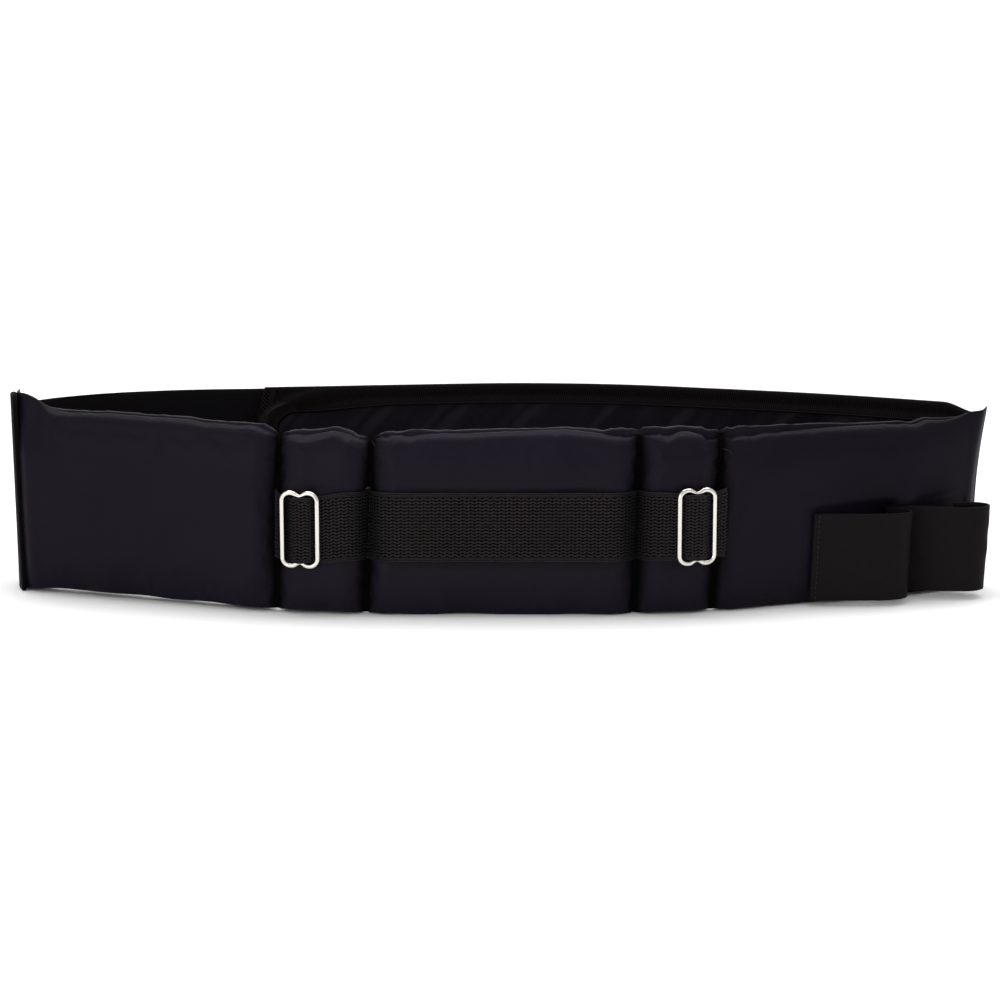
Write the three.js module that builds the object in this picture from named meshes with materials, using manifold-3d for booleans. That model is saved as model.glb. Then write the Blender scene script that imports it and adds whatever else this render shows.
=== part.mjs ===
// A padded waist harness, closed into a flattened ring and standing on its lower edge.
// Millimetres. +X runs to the wearer's left as seen from the front, +Y to the back of the ring, +Z up.
// The origin is under the middle of the ring, on the surface that it stands on.

import * as THREE from 'three';
import Module from 'manifold-3d';
import { mergeVertices } from 'three/addons/utils/BufferGeometryUtils.js';

const wasm = await Module();
wasm.setup();

// The front pad: cells in a row, left to right, each a length of belt with its own heading in plan (degrees
// from +X) and its own stuffed thickness. low and high are its edges above the floor, at its left and right.
const FLAT = 1.8;
const CELLS = [
  { name: 'left_flange', width: 11, heading: -86, thick: FLAT, low: [0, 0.6], high: [109.6, 109.4] },
  { name: 'left_wing', width: 151, heading: -18.3, thick: 17, low: [4.8, 1.5], high: [101.6, 103] },
  { name: 'left_channel', width: 49, heading: -5.5, thick: 19.5, low: [1.8, 0.6], high: [101.6, 101.8] },
  { name: 'middle', width: 143.8, heading: 0, thick: 18.5, low: [0, 0], high: [101, 101.4] },
  { name: 'right_channel', width: 43.4, heading: 7, thick: 19.5, low: [0.3, 0.8], high: [103, 103.4] },
  { name: 'right_wing', width: 150.4, heading: 18.6, thick: 15.4, low: [0, 1.2], high: [101.2, 98.8] },
  { name: 'right_flange', width: 7, heading: 60, thick: FLAT, low: [1.5, 1.5], high: [102, 102.6] },
];
// The sewn lines between the cells. turn is the length over which the heading changes, and lean how far the
// line's top stands to the right of its foot.
const SEAMS = [
  { turn: 5, low: 2.4, high: 109, lean: 0, reach: 26 },
  { turn: 14, low: 2.8, high: 99.2, lean: 2.6, reach: 12 },
  { turn: 14, low: 1.3, high: 98.6, lean: 4.2, reach: 12 },
  { turn: 14, low: 1.2, high: 99, lean: 2.4, reach: 12 },
  { turn: 14, low: 1.6, high: 97.4, lean: 4.4, reach: 12 },
  { turn: 5, low: 1.5, high: 100.6, lean: 3.6, reach: 24 },
];
// The right flange's upper half turns out to the right, by this much at its top.
const FLARE = 4;
// The middle cell's centre in plan, which places the whole pad.
const PAD_CENTRE = new THREE.Vector2(1.4, -59.2);
const STITCHED = 2.4;
const PUFF = 0.62;

// The pad's upright section: share of the cell's half thickness at each share of its height.
const SECTION = [
  { up: 0, share: 0.36 },
  { up: 0.025, share: 0.62 },
  { up: 0.08, share: 0.84 },
  { up: 0.22, share: 0.96 },
  { up: 0.5, share: 1 },
  { up: 0.78, share: 0.96 },
  { up: 0.92, share: 0.82 },
  { up: 0.975, share: 0.6 },
  { up: 1, share: 0.3 },
];

// The webbing across the front, and the wire slides that it threads.
const WEBBING = { low: 31, high: 69, thick: 1.5, clear: 0.5, past_left: 0.3, past_right: 3.1, bottom: 4.6 };
const WIRE = 1.4;
const SLIDE = { width: 22.1, height: 42.9, corner: 5.8, notch: 2, notch_half: 4.4 };
// Each slide: the outer seam that it sits over, how far its bar is from that seam toward the middle, which way
// the middle is, and the height of its centre.
const SLIDES = {
  slide_left: { seam: 1, from: 13.2, inward: 1, up: 48.4 },
  slide_right: { seam: 4, from: 12.4, inward: -1, up: 49.9 },
};
// The webbing's way through a slide, from its outer wire over the bar to its inner wire: the distance from the
// bar toward the middle, its inner face's distance from the middle of the pad, and half its width there.
const THREADING = [
  { past: -9.8, off: 7.5, half: 18 },
  { past: -6.2, off: 9.3, half: 17.8 },
  { past: -3.8, off: 12.4, half: 17.5 },
  { past: -1.9, off: 14.2, half: 18.2 },
  { past: 1.8, off: 14.4, half: 18.2 },
  { past: 4.6, off: 13.4, half: 17.8 },
  { past: 6.9, off: 10.25, half: 17.8 },
  { past: 12, off: 10.25, half: 18.6 },
];
const BAR_OFF = 12.5;
const SLIDE_TILT = 6.5;

// The elastic strip on the right wing, in plan, as the middle of its thickness.
const ELASTIC = { thick: 1.6, low: [3.4, 4.8], high: [51.9, 52], lean: [3.7, 4.8] };
const ELASTIC_WAY = [
  { x: 170.4, y: -45.4 },
  { x: 178, y: -46 },
  { x: 196, y: -46.2 },
  { x: 210, y: -45.8 },
  { x: 218, y: -44.2 },
  { x: 222.6, y: -40.8 },
  { x: 223.6, y: -36.6 },
  { x: 221.4, y: -33 },
  { x: 216.4, y: -29.6 },
  { x: 212.4, y: -27.6 },
  { x: 211.2, y: -25.9 },
  { x: 213.4, y: -24.6 },
  { x: 220, y: -25.2 },
  { x: 232, y: -27.4 },
  { x: 246, y: -30.6 },
  { x: 256, y: -31.6 },
  { x: 262.6, y: -30 },
  { x: 266.2, y: -26 },
  { x: 266.2, y: -21.6 },
  { x: 262.4, y: -18.6 },
  { x: 256, y: -17.6 },
  { x: 249, y: -18.4 },
];
// Where the strip is sewn down between its loops the pad is drawn in.
const DIMPLE = { x: 212.6, deep: 6.9, spread: 7.8, top_share: 0.5, steps: [-16, -10, -5, 0, 5, 10, 16] };

// The lined panel behind, from the right flange round to its free end, as the middle of its thickness.
const TONGUE_WAY = [
  { x: 262, y: 3.6 },
  { x: 256.4, y: 6.6 },
  { x: 233.6, y: 15.6 },
  { x: 180, y: 34 },
  { x: 113.4, y: 51 },
  { x: 68.4, y: 60.8 },
  { x: 11.4, y: 65 },
  { x: -56.9, y: 60 },
  { x: -113.5, y: 55 },
  { x: -134.5, y: 53.4 },
];
const TONGUE = { thick: 2.4, low: 0, high: 102.4, bulge: 7.5, sewn_drop: 4.5, drop_reach: 18, columns: 32 };
const TAPE = { wide: 10.5, wide_end: 12, wide_corner: 14, widening: 60, thick: 1, clear: 0.3, round: 9 };

// The strap that closes over it from the left flange.
const STRAP_WAY = [
  { x: -265, y: -13.4 },
  { x: -266.5, y: -4 },
  { x: -266.1, y: 6 },
  { x: -263.4, y: 16 },
  { x: -255, y: 26.6 },
  { x: -225.6, y: 42.6 },
  { x: -181.5, y: 53.6 },
  { x: -134.5, y: 57.9 },
  { x: -113.5, y: 60.6 },
  { x: -56.9, y: 67 },
  { x: -8, y: 70.3 },
  { x: 22, y: 70.6 },
];
const STRAP = { thick: 2.2, low: 0.4, high: 100.2, flare_high: 112.6, flare_reach: 26 };

const COLOURS = {
  nylon: { color: 0x17171f, roughness: 0.55, metalness: 0 },
  webbing: { color: 0x1c1b1b, roughness: 0.8, metalness: 0 },
  elastic: { color: 0x201e1d, roughness: 0.75, metalness: 0 },
  strap: { color: 0x121112, roughness: 0.9, metalness: 0 },
  tape: { color: 0x161414, roughness: 0.85, metalness: 0 },
  lining: { color: 0x19171d, roughness: 0.6, metalness: 0 },
  nickel: { color: 0xc9c2b4, roughness: 0.25, metalness: 1 },
};

const radians = THREE.MathUtils.degToRad;
const smooth = (t) => THREE.MathUtils.smoothstep(t, 0, 1);
const mix = THREE.MathUtils.lerp;

// A closed body through rings of points that all have the same number of points. cap is one end's triangles,
// as places in a ring and wound the way that the ring runs.
function loft(rings, cap) {
  const count = rings[0].length;
  const positions = rings.flat().flatMap((p) => [p.x, p.y, p.z]);
  const faces = [];
  for (let i = 0; i + 1 < rings.length; i += 1) {
    for (let j = 0; j < count; j += 1) {
      const k = (j + 1) % count;
      const here = i * count;
      const next = here + count;
      faces.push(here + j, next + j, next + k, here + j, next + k, here + k);
    }
  }
  const last = (rings.length - 1) * count;
  for (const [a, b, c] of cap) faces.push(a, b, c, last + a, last + c, last + b);
  return outward(positions, faces);
}

// The end of a ring that climbs one side of a strip and comes down the other: a ladder between equal levels.
function ladder(levels) {
  const rungs = Array.from({ length: levels - 1 }, (_, k) => [k, k + 1, 2 * levels - 2 - k, 2 * levels - 1 - k]);
  return rungs.flatMap(([a, b, c, d]) => [[a, b, c], [a, c, d]]);
}

// The end of a ring of any flat outline.
function flatEnd(outline) {
  const triangles = THREE.ShapeUtils.triangulateShape(outline, []);
  return THREE.ShapeUtils.isClockWise(outline) ? triangles.map(([a, b, c]) => [a, c, b]) : triangles;
}

// A ring of rings, closed on itself.
function loftRound(rings) {
  const count = rings[0].length;
  const positions = rings.flat().flatMap((p) => [p.x, p.y, p.z]);
  const faces = [];
  for (let i = 0; i < rings.length; i += 1) {
    for (let j = 0; j < count; j += 1) {
      const k = (j + 1) % count;
      const here = i * count;
      const next = ((i + 1) % rings.length) * count;
      faces.push(here + j, next + j, next + k, here + j, next + k, here + k);
    }
  }
  return outward(positions, faces);
}

// The geometry of a closed body, with its faces turned to point out.
function outward(positions, faces) {
  const corner = (i) => new THREE.Vector3().fromArray(positions, 3 * i);
  let volume = 0;
  for (let i = 0; i < faces.length; i += 3) {
    volume += corner(faces[i]).dot(corner(faces[i + 1]).cross(corner(faces[i + 2])));
  }
  const turned = volume < 0 ? faces.slice().reverse() : faces;
  const geometry = new THREE.BufferGeometry();
  geometry.setAttribute('position', new THREE.Float32BufferAttribute(positions, 3));
  geometry.setIndex(turned);
  return geometry;
}

function toManifold(geometry) {
  const merged = mergeVertices(geometry, 1e-4);
  return new wasm.Manifold(new wasm.Mesh({
    numProp: 3,
    vertProperties: new Float32Array(merged.attributes.position.array),
    triVerts: new Uint32Array(merged.index.array),
  }));
}

function fromManifold(solid) {
  const mesh = solid.getMesh();
  const geometry = new THREE.BufferGeometry();
  geometry.setAttribute('position', new THREE.Float32BufferAttribute(mesh.vertProperties, 3));
  geometry.setIndex(Array.from(mesh.triVerts));
  return geometry;
}

function piece(name, geometry, look) {
  geometry.computeVertexNormals();
  const mesh = new THREE.Mesh(geometry, new THREE.MeshStandardMaterial(COLOURS[look]));
  mesh.name = name;
  return mesh;
}

// The pad's middle line in plan, walked from the left flange's edge to the right flange's edge.
const seamAt = [];
CELLS.reduce((sum, cell) => {
  seamAt.push(sum + cell.width);
  return sum + cell.width;
}, 0);
const padLength = seamAt.pop();

function headingAt(s) {
  const turns = SEAMS.map((seam, i) => {
    const change = CELLS[i + 1].heading - CELLS[i].heading;
    return change * smooth((s - seamAt[i]) / seam.turn + 0.5);
  });
  return radians(turns.reduce((sum, turn) => sum + turn, CELLS[0].heading));
}

const WALK = 0.5;
const padLine = [new THREE.Vector2(0, 0)];
for (let s = 0; s < padLength; s += WALK) {
  const heading = headingAt(s + WALK / 2);
  const step = new THREE.Vector2(Math.cos(heading), Math.sin(heading)).multiplyScalar(WALK);
  padLine.push(padLine[padLine.length - 1].clone().add(step));
}

function alongPad(s) {
  const t = THREE.MathUtils.clamp(s / WALK, 0, padLine.length - 1.001);
  const i = Math.floor(t);
  return padLine[i].clone().lerp(padLine[i + 1], t - i);
}

const middleOfPad = alongPad((seamAt[2] + seamAt[3]) / 2);
const padShift = PAD_CENTRE.clone().sub(middleOfPad);

// A plan point of the pad: s along it and off in front of its middle line.
function padPlan(s, off) {
  const heading = headingAt(s);
  const front = new THREE.Vector2(Math.sin(heading), -Math.cos(heading));
  return alongPad(s).add(padShift).addScaledVector(front, off);
}

// Which cell s is in, and how far into it the stuffing has risen from the nearest seam, from 0 to 1.
function cellAt(s) {
  const found = seamAt.findIndex((at) => s < at);
  const i = found < 0 ? CELLS.length - 1 : found;
  const ends = [i - 1, i].filter((k) => k >= 0 && k < SEAMS.length);
  const nearest = ends.reduce((a, b) => (Math.abs(s - seamAt[b]) < Math.abs(s - seamAt[a]) ? b : a));
  const way = Math.min(Math.abs(s - seamAt[nearest]) / SEAMS[nearest].reach, 1);
  const rise = (1 - (1 - way) ** 2) ** PUFF;
  const across = (s - (i === 0 ? 0 : seamAt[i - 1])) / CELLS[i].width;
  return { cell: CELLS[i], seam: SEAMS[nearest], rise, way, across };
}

function padHalf(s) {
  const { cell, rise } = cellAt(s);
  if (cell.thick === FLAT) return FLAT / 2;
  const thin = s < seamAt[1] - CELLS[1].width / 2 || s > seamAt[4] + CELLS[5].width / 2 ? FLAT : STITCHED;
  return mix(thin / 2, cell.thick / 2, rise);
}

function padEdges(s) {
  const { cell, seam, way, across } = cellAt(s);
  const edge = (side) => mix(seam[side], mix(cell[side][0], cell[side][1], across), smooth(way));
  return { low: edge('low'), high: edge('high') };
}

function leanAt(s) {
  const after = seamAt.findIndex((at) => s < at);
  if (after === 0) return SEAMS[0].lean;
  if (after < 0) return SEAMS[SEAMS.length - 1].lean;
  const t = (s - seamAt[after - 1]) / (seamAt[after] - seamAt[after - 1]);
  return mix(SEAMS[after - 1].lean, SEAMS[after].lean, t);
}

const LEAN_MIDDLE = 50;
const LEAN_SPAN = 100;
function standing(plan, z, lean) {
  return new THREE.Vector3(plan.x + (lean * (z - LEAN_MIDDLE)) / LEAN_SPAN, plan.y, z);
}

function dimpleAt(s, up) {
  if (up > DIMPLE.top_share) return 0;
  return DIMPLE.deep * Math.exp(-(((padPlan(s, 0).x - DIMPLE.x) / DIMPLE.spread) ** 2));
}

function flareAt(s, up) {
  const sideways = smooth((s - seamAt[seamAt.length - 1]) / CELLS[CELLS.length - 1].width + 0.5);
  return FLARE * sideways * Math.max(0, 2 * up - 1) ** 2;
}

function stationAtX(x) {
  return WALK * padLine.findIndex((p) => p.x + padShift.x > x);
}

// Stations along a cell: close together where the stuffing rises from each seam, even between.
const RISE_STEPS = [0, 0.07, 0.22, 0.45, 0.75, 1];
const PLAIN_STEP = 15;
function padStations() {
  const stations = new Set([0, padLength]);
  CELLS.forEach((cell, i) => {
    const start = i === 0 ? 0 : seamAt[i - 1];
    const end = start + cell.width;
    if (cell.thick === FLAT) {
      [0, 0.4, 0.75].forEach((t) => stations.add(i === 0 ? end - t * cell.width : start + t * cell.width));
      return;
    }
    const [first, last] = [SEAMS[i - 1].reach, SEAMS[i].reach];
    RISE_STEPS.forEach((t) => stations.add(start + t * first).add(end - t * last));
    const plain = cell.width - first - last;
    const pieces = Math.max(1, Math.round(plain / PLAIN_STEP));
    for (let k = 1; k < pieces; k += 1) stations.add(start + first + (plain * k) / pieces);
  });
  const drawn = DIMPLE.steps.map((step) => stationAtX(DIMPLE.x + step));
  const kept = [...stations].filter((s) => s < drawn[0] - 2 || s > drawn[drawn.length - 1] + 2);
  return [...kept, ...drawn].sort((a, b) => a - b);
}

function frontPad() {
  const rings = padStations().map((s) => {
    const half = padHalf(s);
    const { low, high } = padEdges(s);
    const lean = leanAt(s);
    const flat = cellAt(s).cell.thick === FLAT;
    const at = ({ up, share }, side) => {
      const off = flat ? half : FLAT / 2 + (half - FLAT / 2) * share;
      const drawn = side > 0 ? share * dimpleAt(s, up) : 0;
      const point = standing(padPlan(s, side * (off - drawn)), mix(low, high, up), lean);
      point.x += flareAt(s, up);
      return point;
    };
    return [...SECTION.map((row) => at(row, 1)), ...SECTION.toReversed().map((row) => at(row, -1))];
  });
  return piece('front_pad', loft(rings, ladder(SECTION.length)), 'nylon');
}

// Each plan point of a way with the unit direction square to it, on its left, and the stretch that a mitre needs.
function mitres(way) {
  return way.map((p, i) => {
    const before = way[Math.max(i - 1, 0)];
    const after = way[Math.min(i + 1, way.length - 1)];
    const arriving = p.clone().sub(before).normalize();
    const leaving = after.clone().sub(p).normalize();
    const along = arriving.clone().add(leaving).normalize();
    const square = new THREE.Vector2(-along.y, along.x);
    const arrivingSquare = new THREE.Vector2(-arriving.y, arriving.x);
    const cosine = i === 0 || i === way.length - 1 ? 1 : Math.max(square.dot(arrivingSquare), 0.5);
    return { p, along, square: square.divideScalar(cosine) };
  });
}

// An upright strip of cloth along a way in plan. Its faces lie at the two offsets to the left of the way, levels
// are the shares of its height where it has points, and row gives each point's edges, lean and shift along it.
function strip(way, offsets, levels, row) {
  const rings = mitres(way).map(({ p, along, square }, i) => {
    const { low, high, lean = 0, shift = () => 0 } = row(i);
    const at = (up, offset) => {
      const plan = p.clone().addScaledVector(square, offset).addScaledVector(along, shift(up));
      return standing(plan, mix(low, high, up), lean);
    };
    return [...levels.map((up) => at(up, offsets[0])), ...levels.toReversed().map((up) => at(up, offsets[1]))];
  });
  return loft(rings, ladder(levels.length));
}

// The same way with its bends rounded, resampled at about this step.
function rounded(table, step) {
  const curve = new THREE.CatmullRomCurve3(table.map(({ x, y }) => new THREE.Vector3(x, y, 0)), false, 'centripetal');
  const points = curve.getSpacedPoints(Math.round(curve.getLength() / step));
  return points.map((p) => new THREE.Vector2(p.x, p.y));
}

// The webbing's stations, from its left end to its right end. Through each slide it follows the threading table,
// in the two inner seams it is sewn down, and elsewhere it lies on the pad.
function webbingStations() {
  const [, outerLeft, innerLeft, innerRight, outerRight] = seamAt;
  const { low, high } = WEBBING;
  const onPad = (s) => ({ s, off: padHalf(s) + WEBBING.clear, low, high });
  const sewn = (s) => ({ s, off: WEBBING.bottom, low, high });
  const beside = [4, 7.5, 12];
  const threaded = ({ seam, from, inward, up }) => THREADING.map(({ past, off, half }) => (
    { s: seamAt[seam] + inward * (from + past), off, low: up - half, high: up + half, lean: 0 }));
  const left = threaded(SLIDES.slide_left);
  const right = threaded(SLIDES.slide_right).toReversed();
  const end = (s, up) => ({ s, off: padHalf(s) + 1.1, low: low + up, high: high + up, lean: 1.5 });
  const middle = [0.25, 0.5, 0.75].map((t) => mix(innerLeft, innerRight, t));
  return [
    end(outerLeft - WEBBING.past_left, -0.4),
    ...left,
    ...beside.toReversed().map((d) => onPad(innerLeft - d)),
    sewn(innerLeft),
    ...beside.map((d) => onPad(innerLeft + d)),
    ...middle.map(onPad),
    ...beside.toReversed().map((d) => onPad(innerRight - d)),
    sewn(innerRight),
    ...beside.map((d) => onPad(innerRight + d)),
    ...right,
    end(outerRight + WEBBING.past_right, 0.3),
  ];
}

function webbingBand() {
  const stations = webbingStations();
  const way = stations.map(({ s, off }) => padPlan(s, off));
  const row = (i) => ({ lean: leanAt(stations[i].s), ...stations[i] });
  return piece('webbing_band', strip(way, [0, -WEBBING.thick], [0, 1], row), 'webbing');
}

// The slide's wire in its own plane, x across and y up, from the middle of its top round to the right.
function slideOutline() {
  const across = SLIDE.width / 2 - WIRE;
  const up = SLIDE.height / 2 - WIRE;
  const bend = SLIDE.corner - WIRE;
  const notch = [0, 0.3, 0.65, 1].map((t) => ({
    x: t * SLIDE.notch_half,
    y: up - SLIDE.notch * (0.5 + 0.5 * Math.cos(Math.PI * t)),
  }));
  const corner = [0, 0.25, 0.5, 0.75, 1].map((t) => ({
    x: across - bend + bend * Math.sin((t * Math.PI) / 2),
    y: up - bend + bend * Math.cos((t * Math.PI) / 2),
  }));
  const quarter = [...notch, ...corner];
  const lower = quarter.toReversed().map(({ x, y }) => ({ x, y: -y }));
  const rightSide = [...quarter, ...lower];
  const leftSide = rightSide.slice(1, -1).toReversed().map(({ x, y }) => ({ x: -x, y }));
  return [...rightSide, ...leftSide].map(({ x, y }) => new THREE.Vector3(x, 0, y));
}

const WIRE_SIDES = 8;
function wireRound(centre, outwardDirection, radius) {
  const depth = new THREE.Vector3(0, 1, 0);
  return Array.from({ length: WIRE_SIDES }, (_, k) => {
    const angle = (2 * Math.PI * (k + 0.5)) / WIRE_SIDES;
    return centre.clone()
      .addScaledVector(outwardDirection, radius * Math.cos(angle))
      .addScaledVector(depth, radius * Math.sin(angle));
  });
}

function slideGeometry() {
  const line = slideOutline();
  const rings = line.map((p, i) => {
    const before = line[(i + line.length - 1) % line.length];
    const after = line[(i + 1) % line.length];
    const along = after.clone().sub(before).normalize();
    return wireRound(p, new THREE.Vector3(along.z, 0, -along.x), WIRE);
  });
  const reach = SLIDE.height / 2 - WIRE - SLIDE.notch;
  const acrossBar = new THREE.Vector3(1, 0, 0);
  const barRings = [-reach, reach].map((z) => wireRound(new THREE.Vector3(0, 0, z), acrossBar, WIRE));
  const barEnd = flatEnd(wireRound(new THREE.Vector3(), acrossBar, 1).map((p) => new THREE.Vector2(p.x, p.y)));
  return fromManifold(toManifold(loftRound(rings)).add(toManifold(loft(barRings, barEnd))));
}

function slide(name) {
  const { seam, from, inward, up } = SLIDES[name];
  const s = seamAt[seam] + inward * from;
  const place = padPlan(s, BAR_OFF);
  const mesh = piece(name, slideGeometry(), 'nickel');
  mesh.position.set(place.x, place.y, up);
  mesh.rotation.z = headingAt(s) - inward * radians(SLIDE_TILT);
  return mesh;
}

function elasticLoops() {
  const way = rounded(ELASTIC_WAY, 3.4);
  const along = ([start, end], i) => mix(start, end, smooth((2 * i) / way.length - 0.5));
  const row = (i) => ({ low: along(ELASTIC.low, i), high: along(ELASTIC.high, i), lean: along(ELASTIC.lean, i) });
  const half = ELASTIC.thick / 2;
  return piece('elastic_loops', strip(way, [half, -half], [0, 1], row), 'elastic');
}

// The tongue's outer outline on the flat: its free end stands out by this much at a height.
function tongueBulge(z) {
  const fromMiddle = (2 * z) / TONGUE.high - 1;
  return TONGUE.bulge * (1 - fromMiddle ** 2);
}

const tongueLine = rounded(TONGUE_WAY, 2);
const tongueLength = tongueLine.length - 1;

// A point of the tongue: how far from its sewn end, its height, and how far behind its middle it lies.
function tonguePoint(along, z, behind) {
  const step = tongueLine[1].distanceTo(tongueLine[0]);
  const t = along / step;
  const i = THREE.MathUtils.clamp(Math.floor(t), 0, tongueLength - 1);
  const from = tongueLine[i];
  const direction = tongueLine[i + 1].clone().sub(from).normalize();
  const square = new THREE.Vector2(direction.y, -direction.x);
  const plan = from.clone().addScaledVector(direction, (t - i) * step).addScaledVector(square, behind);
  return new THREE.Vector3(plan.x, plan.y, z);
}
const tongueEnd = tongueLength * tongueLine[1].distanceTo(tongueLine[0]);

// The tongue's upper edge, which slopes down where it runs in beside the right flange.
function tongueTop(along) {
  return TONGUE.high - TONGUE.sewn_drop * (1 - smooth(along / TONGUE.drop_reach));
}

// Stations along the tongue, shared with the tape on its edges up to where that turns round the free end.
const tapeTurn = tongueEnd - TAPE.wide_end - TAPE.round;
const tapeStations = Array.from({ length: TONGUE.columns }, (_, i) => (tapeTurn * i) / (TONGUE.columns - 1));
function tongueStations() {
  return [...tapeStations, ...[0.35, 0.7, 1].map((t) => mix(tapeTurn, tongueEnd, t))];
}

function innerTongue() {
  const levels = [0, 0.25, 0.5, 0.75, 1];
  const inset = TAPE.thick + TAPE.clear;
  const half = TONGUE.thick / 2;
  const rings = tongueStations().map((along) => {
    const at = (up, behind) => {
      const z = mix(TONGUE.low + inset, tongueTop(along) - inset, up);
      const stretched = along * (1 + (tongueBulge(z) - inset) / tongueEnd);
      return tonguePoint(stretched, z, behind);
    };
    return [...levels.map((up) => at(up, half)), ...levels.toReversed().map((up) => at(up, -half))];
  });
  return piece('inner_tongue', loft(rings, ladder(levels.length)), 'lining');
}

// The tape's ribs: where its fold and its inner edge lie on the flat tongue, from the sewn end along the top,
// round the free end and back along the bottom.
function tapeRibs() {
  const { wide, wide_end: wideEnd, wide_corner: wideCorner, widening, round } = TAPE;
  const middle = TONGUE.high / 2;
  const centre = [tapeTurn, TONGUE.high - wideCorner - round];
  const upper = tapeStations.map((along) => {
    const width = mix(wide, wideCorner, smooth((along - centre[0]) / widening + 1));
    return { fold: [along, tongueTop(along)], edge: [along, tongueTop(along) - width] };
  });
  const diagonal = Math.atan2(wideEnd + round, wideCorner + round);
  const fan = [0.3, 0.6, 1].map((t) => t * diagonal);
  const corner = [...fan, ...[0.35, 0.7].map((t) => mix(diagonal, Math.PI / 2, t))].map((angle) => {
    const way = [Math.sin(angle), Math.cos(angle)];
    const reach = Math.min((wideEnd + round) / way[0], (wideCorner + round) / way[1]);
    const fold = [centre[0] + reach * way[0], centre[1] + reach * way[1]];
    return { fold, edge: [centre[0] + round * way[0], centre[1] + round * way[1]] };
  });
  const end = [centre[1], mix(centre[1], middle, 0.5)].map((z) => ({
    fold: [tongueEnd, z],
    edge: [tongueEnd - wideEnd, z],
  }));
  const half = [...upper, ...corner, ...end];
  const mirrored = half.toReversed().map(({ fold, edge }) => {
    const drop = TONGUE.high - tongueTop(fold[0]);
    return {
      fold: [fold[0], TONGUE.high - drop - fold[1]],
      edge: [edge[0], TONGUE.high - drop - edge[1]],
    };
  });
  return [...half, { fold: [tongueEnd, middle], edge: [tongueEnd - wideEnd, middle] }, ...mirrored];
}

function tongueBinding() {
  const inner = TONGUE.thick / 2 + TAPE.clear;
  const outer = inner + TAPE.thick;
  // In from the fold, as a share of the tape's width, and behind the middle of the tongue.
  const profile = (wall) => [[0, -outer], [0, outer], [1, outer], [1, inner], [wall, inner], [wall, -inner],
    [1, -inner], [1, -outer]];
  const rings = tapeRibs().map(({ fold, edge }) => {
    const width = Math.hypot(edge[0] - fold[0], edge[1] - fold[1]);
    return profile(TAPE.thick / width).map(([inward, behind]) => {
      const z = mix(fold[1], edge[1], inward);
      const along = mix(fold[0], edge[0], inward);
      return tonguePoint(along * (1 + tongueBulge(z) / tongueEnd), z, behind);
    });
  });
  const outline = profile(TAPE.thick / TAPE.wide).map(([inward, behind]) => new THREE.Vector2(inward * TAPE.wide, behind));
  return piece('tongue_binding', loft(rings, flatEnd(outline)), 'tape');
}

function closureStrap() {
  const way = rounded(STRAP_WAY, 9);
  let walked = 0;
  const along = way.map((p, i) => {
    walked += i === 0 ? 0 : p.distanceTo(way[i - 1]);
    return walked;
  });
  const row = (i) => ({
    low: STRAP.low,
    high: mix(STRAP.flare_high, STRAP.high, smooth(along[i] / STRAP.flare_reach)),
  });
  const half = STRAP.thick / 2;
  return piece('closure_strap', strip(way, [half, -half], [0, 0.5, 1], row), 'strap');
}

const harness = new THREE.Group();
harness.add(
  frontPad(),
  webbingBand(),
  slide('slide_left'),
  slide('slide_right'),
  elasticLoops(),
  innerTongue(),
  tongueBinding(),
  closureStrap(),
);

// The middle of the whole stands over the origin.
const middleOfAll = new THREE.Box3().setFromObject(harness).getCenter(new THREE.Vector3());
harness.children.forEach((mesh) => mesh.position.sub(middleOfAll.setZ(0)));

export default harness;
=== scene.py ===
# %% [markdown]
# # A padded waist harness
# A harness of this kind is sewn from a few soft things: a stuffed nylon pad across the front, a lined
# panel behind, a strap that closes the ring, a band of webbing threaded through two wire slides, and a
# strip of elastic. In Blender each becomes a piece of its own, laid exactly where the measured model has
# it.

# %% The frame, and the measured model's box
import math

import bpy
import numpy as np
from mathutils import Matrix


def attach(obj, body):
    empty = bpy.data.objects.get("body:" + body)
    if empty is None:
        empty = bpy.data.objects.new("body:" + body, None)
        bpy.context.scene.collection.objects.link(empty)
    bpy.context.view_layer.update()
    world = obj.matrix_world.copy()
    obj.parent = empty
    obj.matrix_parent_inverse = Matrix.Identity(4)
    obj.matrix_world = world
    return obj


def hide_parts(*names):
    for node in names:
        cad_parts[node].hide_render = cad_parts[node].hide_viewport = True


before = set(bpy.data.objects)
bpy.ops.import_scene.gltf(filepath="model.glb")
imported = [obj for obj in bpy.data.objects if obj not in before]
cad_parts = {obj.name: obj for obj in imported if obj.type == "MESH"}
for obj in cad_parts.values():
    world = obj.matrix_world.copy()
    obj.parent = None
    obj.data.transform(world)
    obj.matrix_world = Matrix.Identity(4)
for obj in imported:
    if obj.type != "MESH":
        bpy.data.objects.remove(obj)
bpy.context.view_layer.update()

print("nodes:", sorted(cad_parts))

# %% [markdown]
# ## The camera
# A product shot of a belt is taken from a little above, with a long lens, so that the far side hardly
# shrinks. The angle could be set by eye, but here it was worked out from the photograph: 13 degrees down,
# from 1.9 metres. The lens follows from how wide the belt is in the picture.

# %% The camera
LOOK_DOWN = math.radians(13)
DISTANCE = 1.9
SENSOR_WIDTH, FOCAL_LENGTH = 36, 124.87
AIM = (-0.00082, -0.024, 0.0545)
shot = bpy.data.objects.new("product_shot", bpy.data.cameras.new("product_shot"))
bpy.context.scene.collection.objects.link(shot)
shot.data.sensor_width = SENSOR_WIDTH
shot.data.lens = FOCAL_LENGTH
shot.data.clip_end = 50
shot.location = (AIM[0], AIM[1] - DISTANCE * math.cos(LOOK_DOWN), AIM[2] + DISTANCE * math.sin(LOOK_DOWN))
shot.rotation_euler = (math.pi / 2 - LOOK_DOWN, 0, 0)
bpy.context.scene.camera = shot
print("camera at", [round(v, 3) for v in shot.location])

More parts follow.
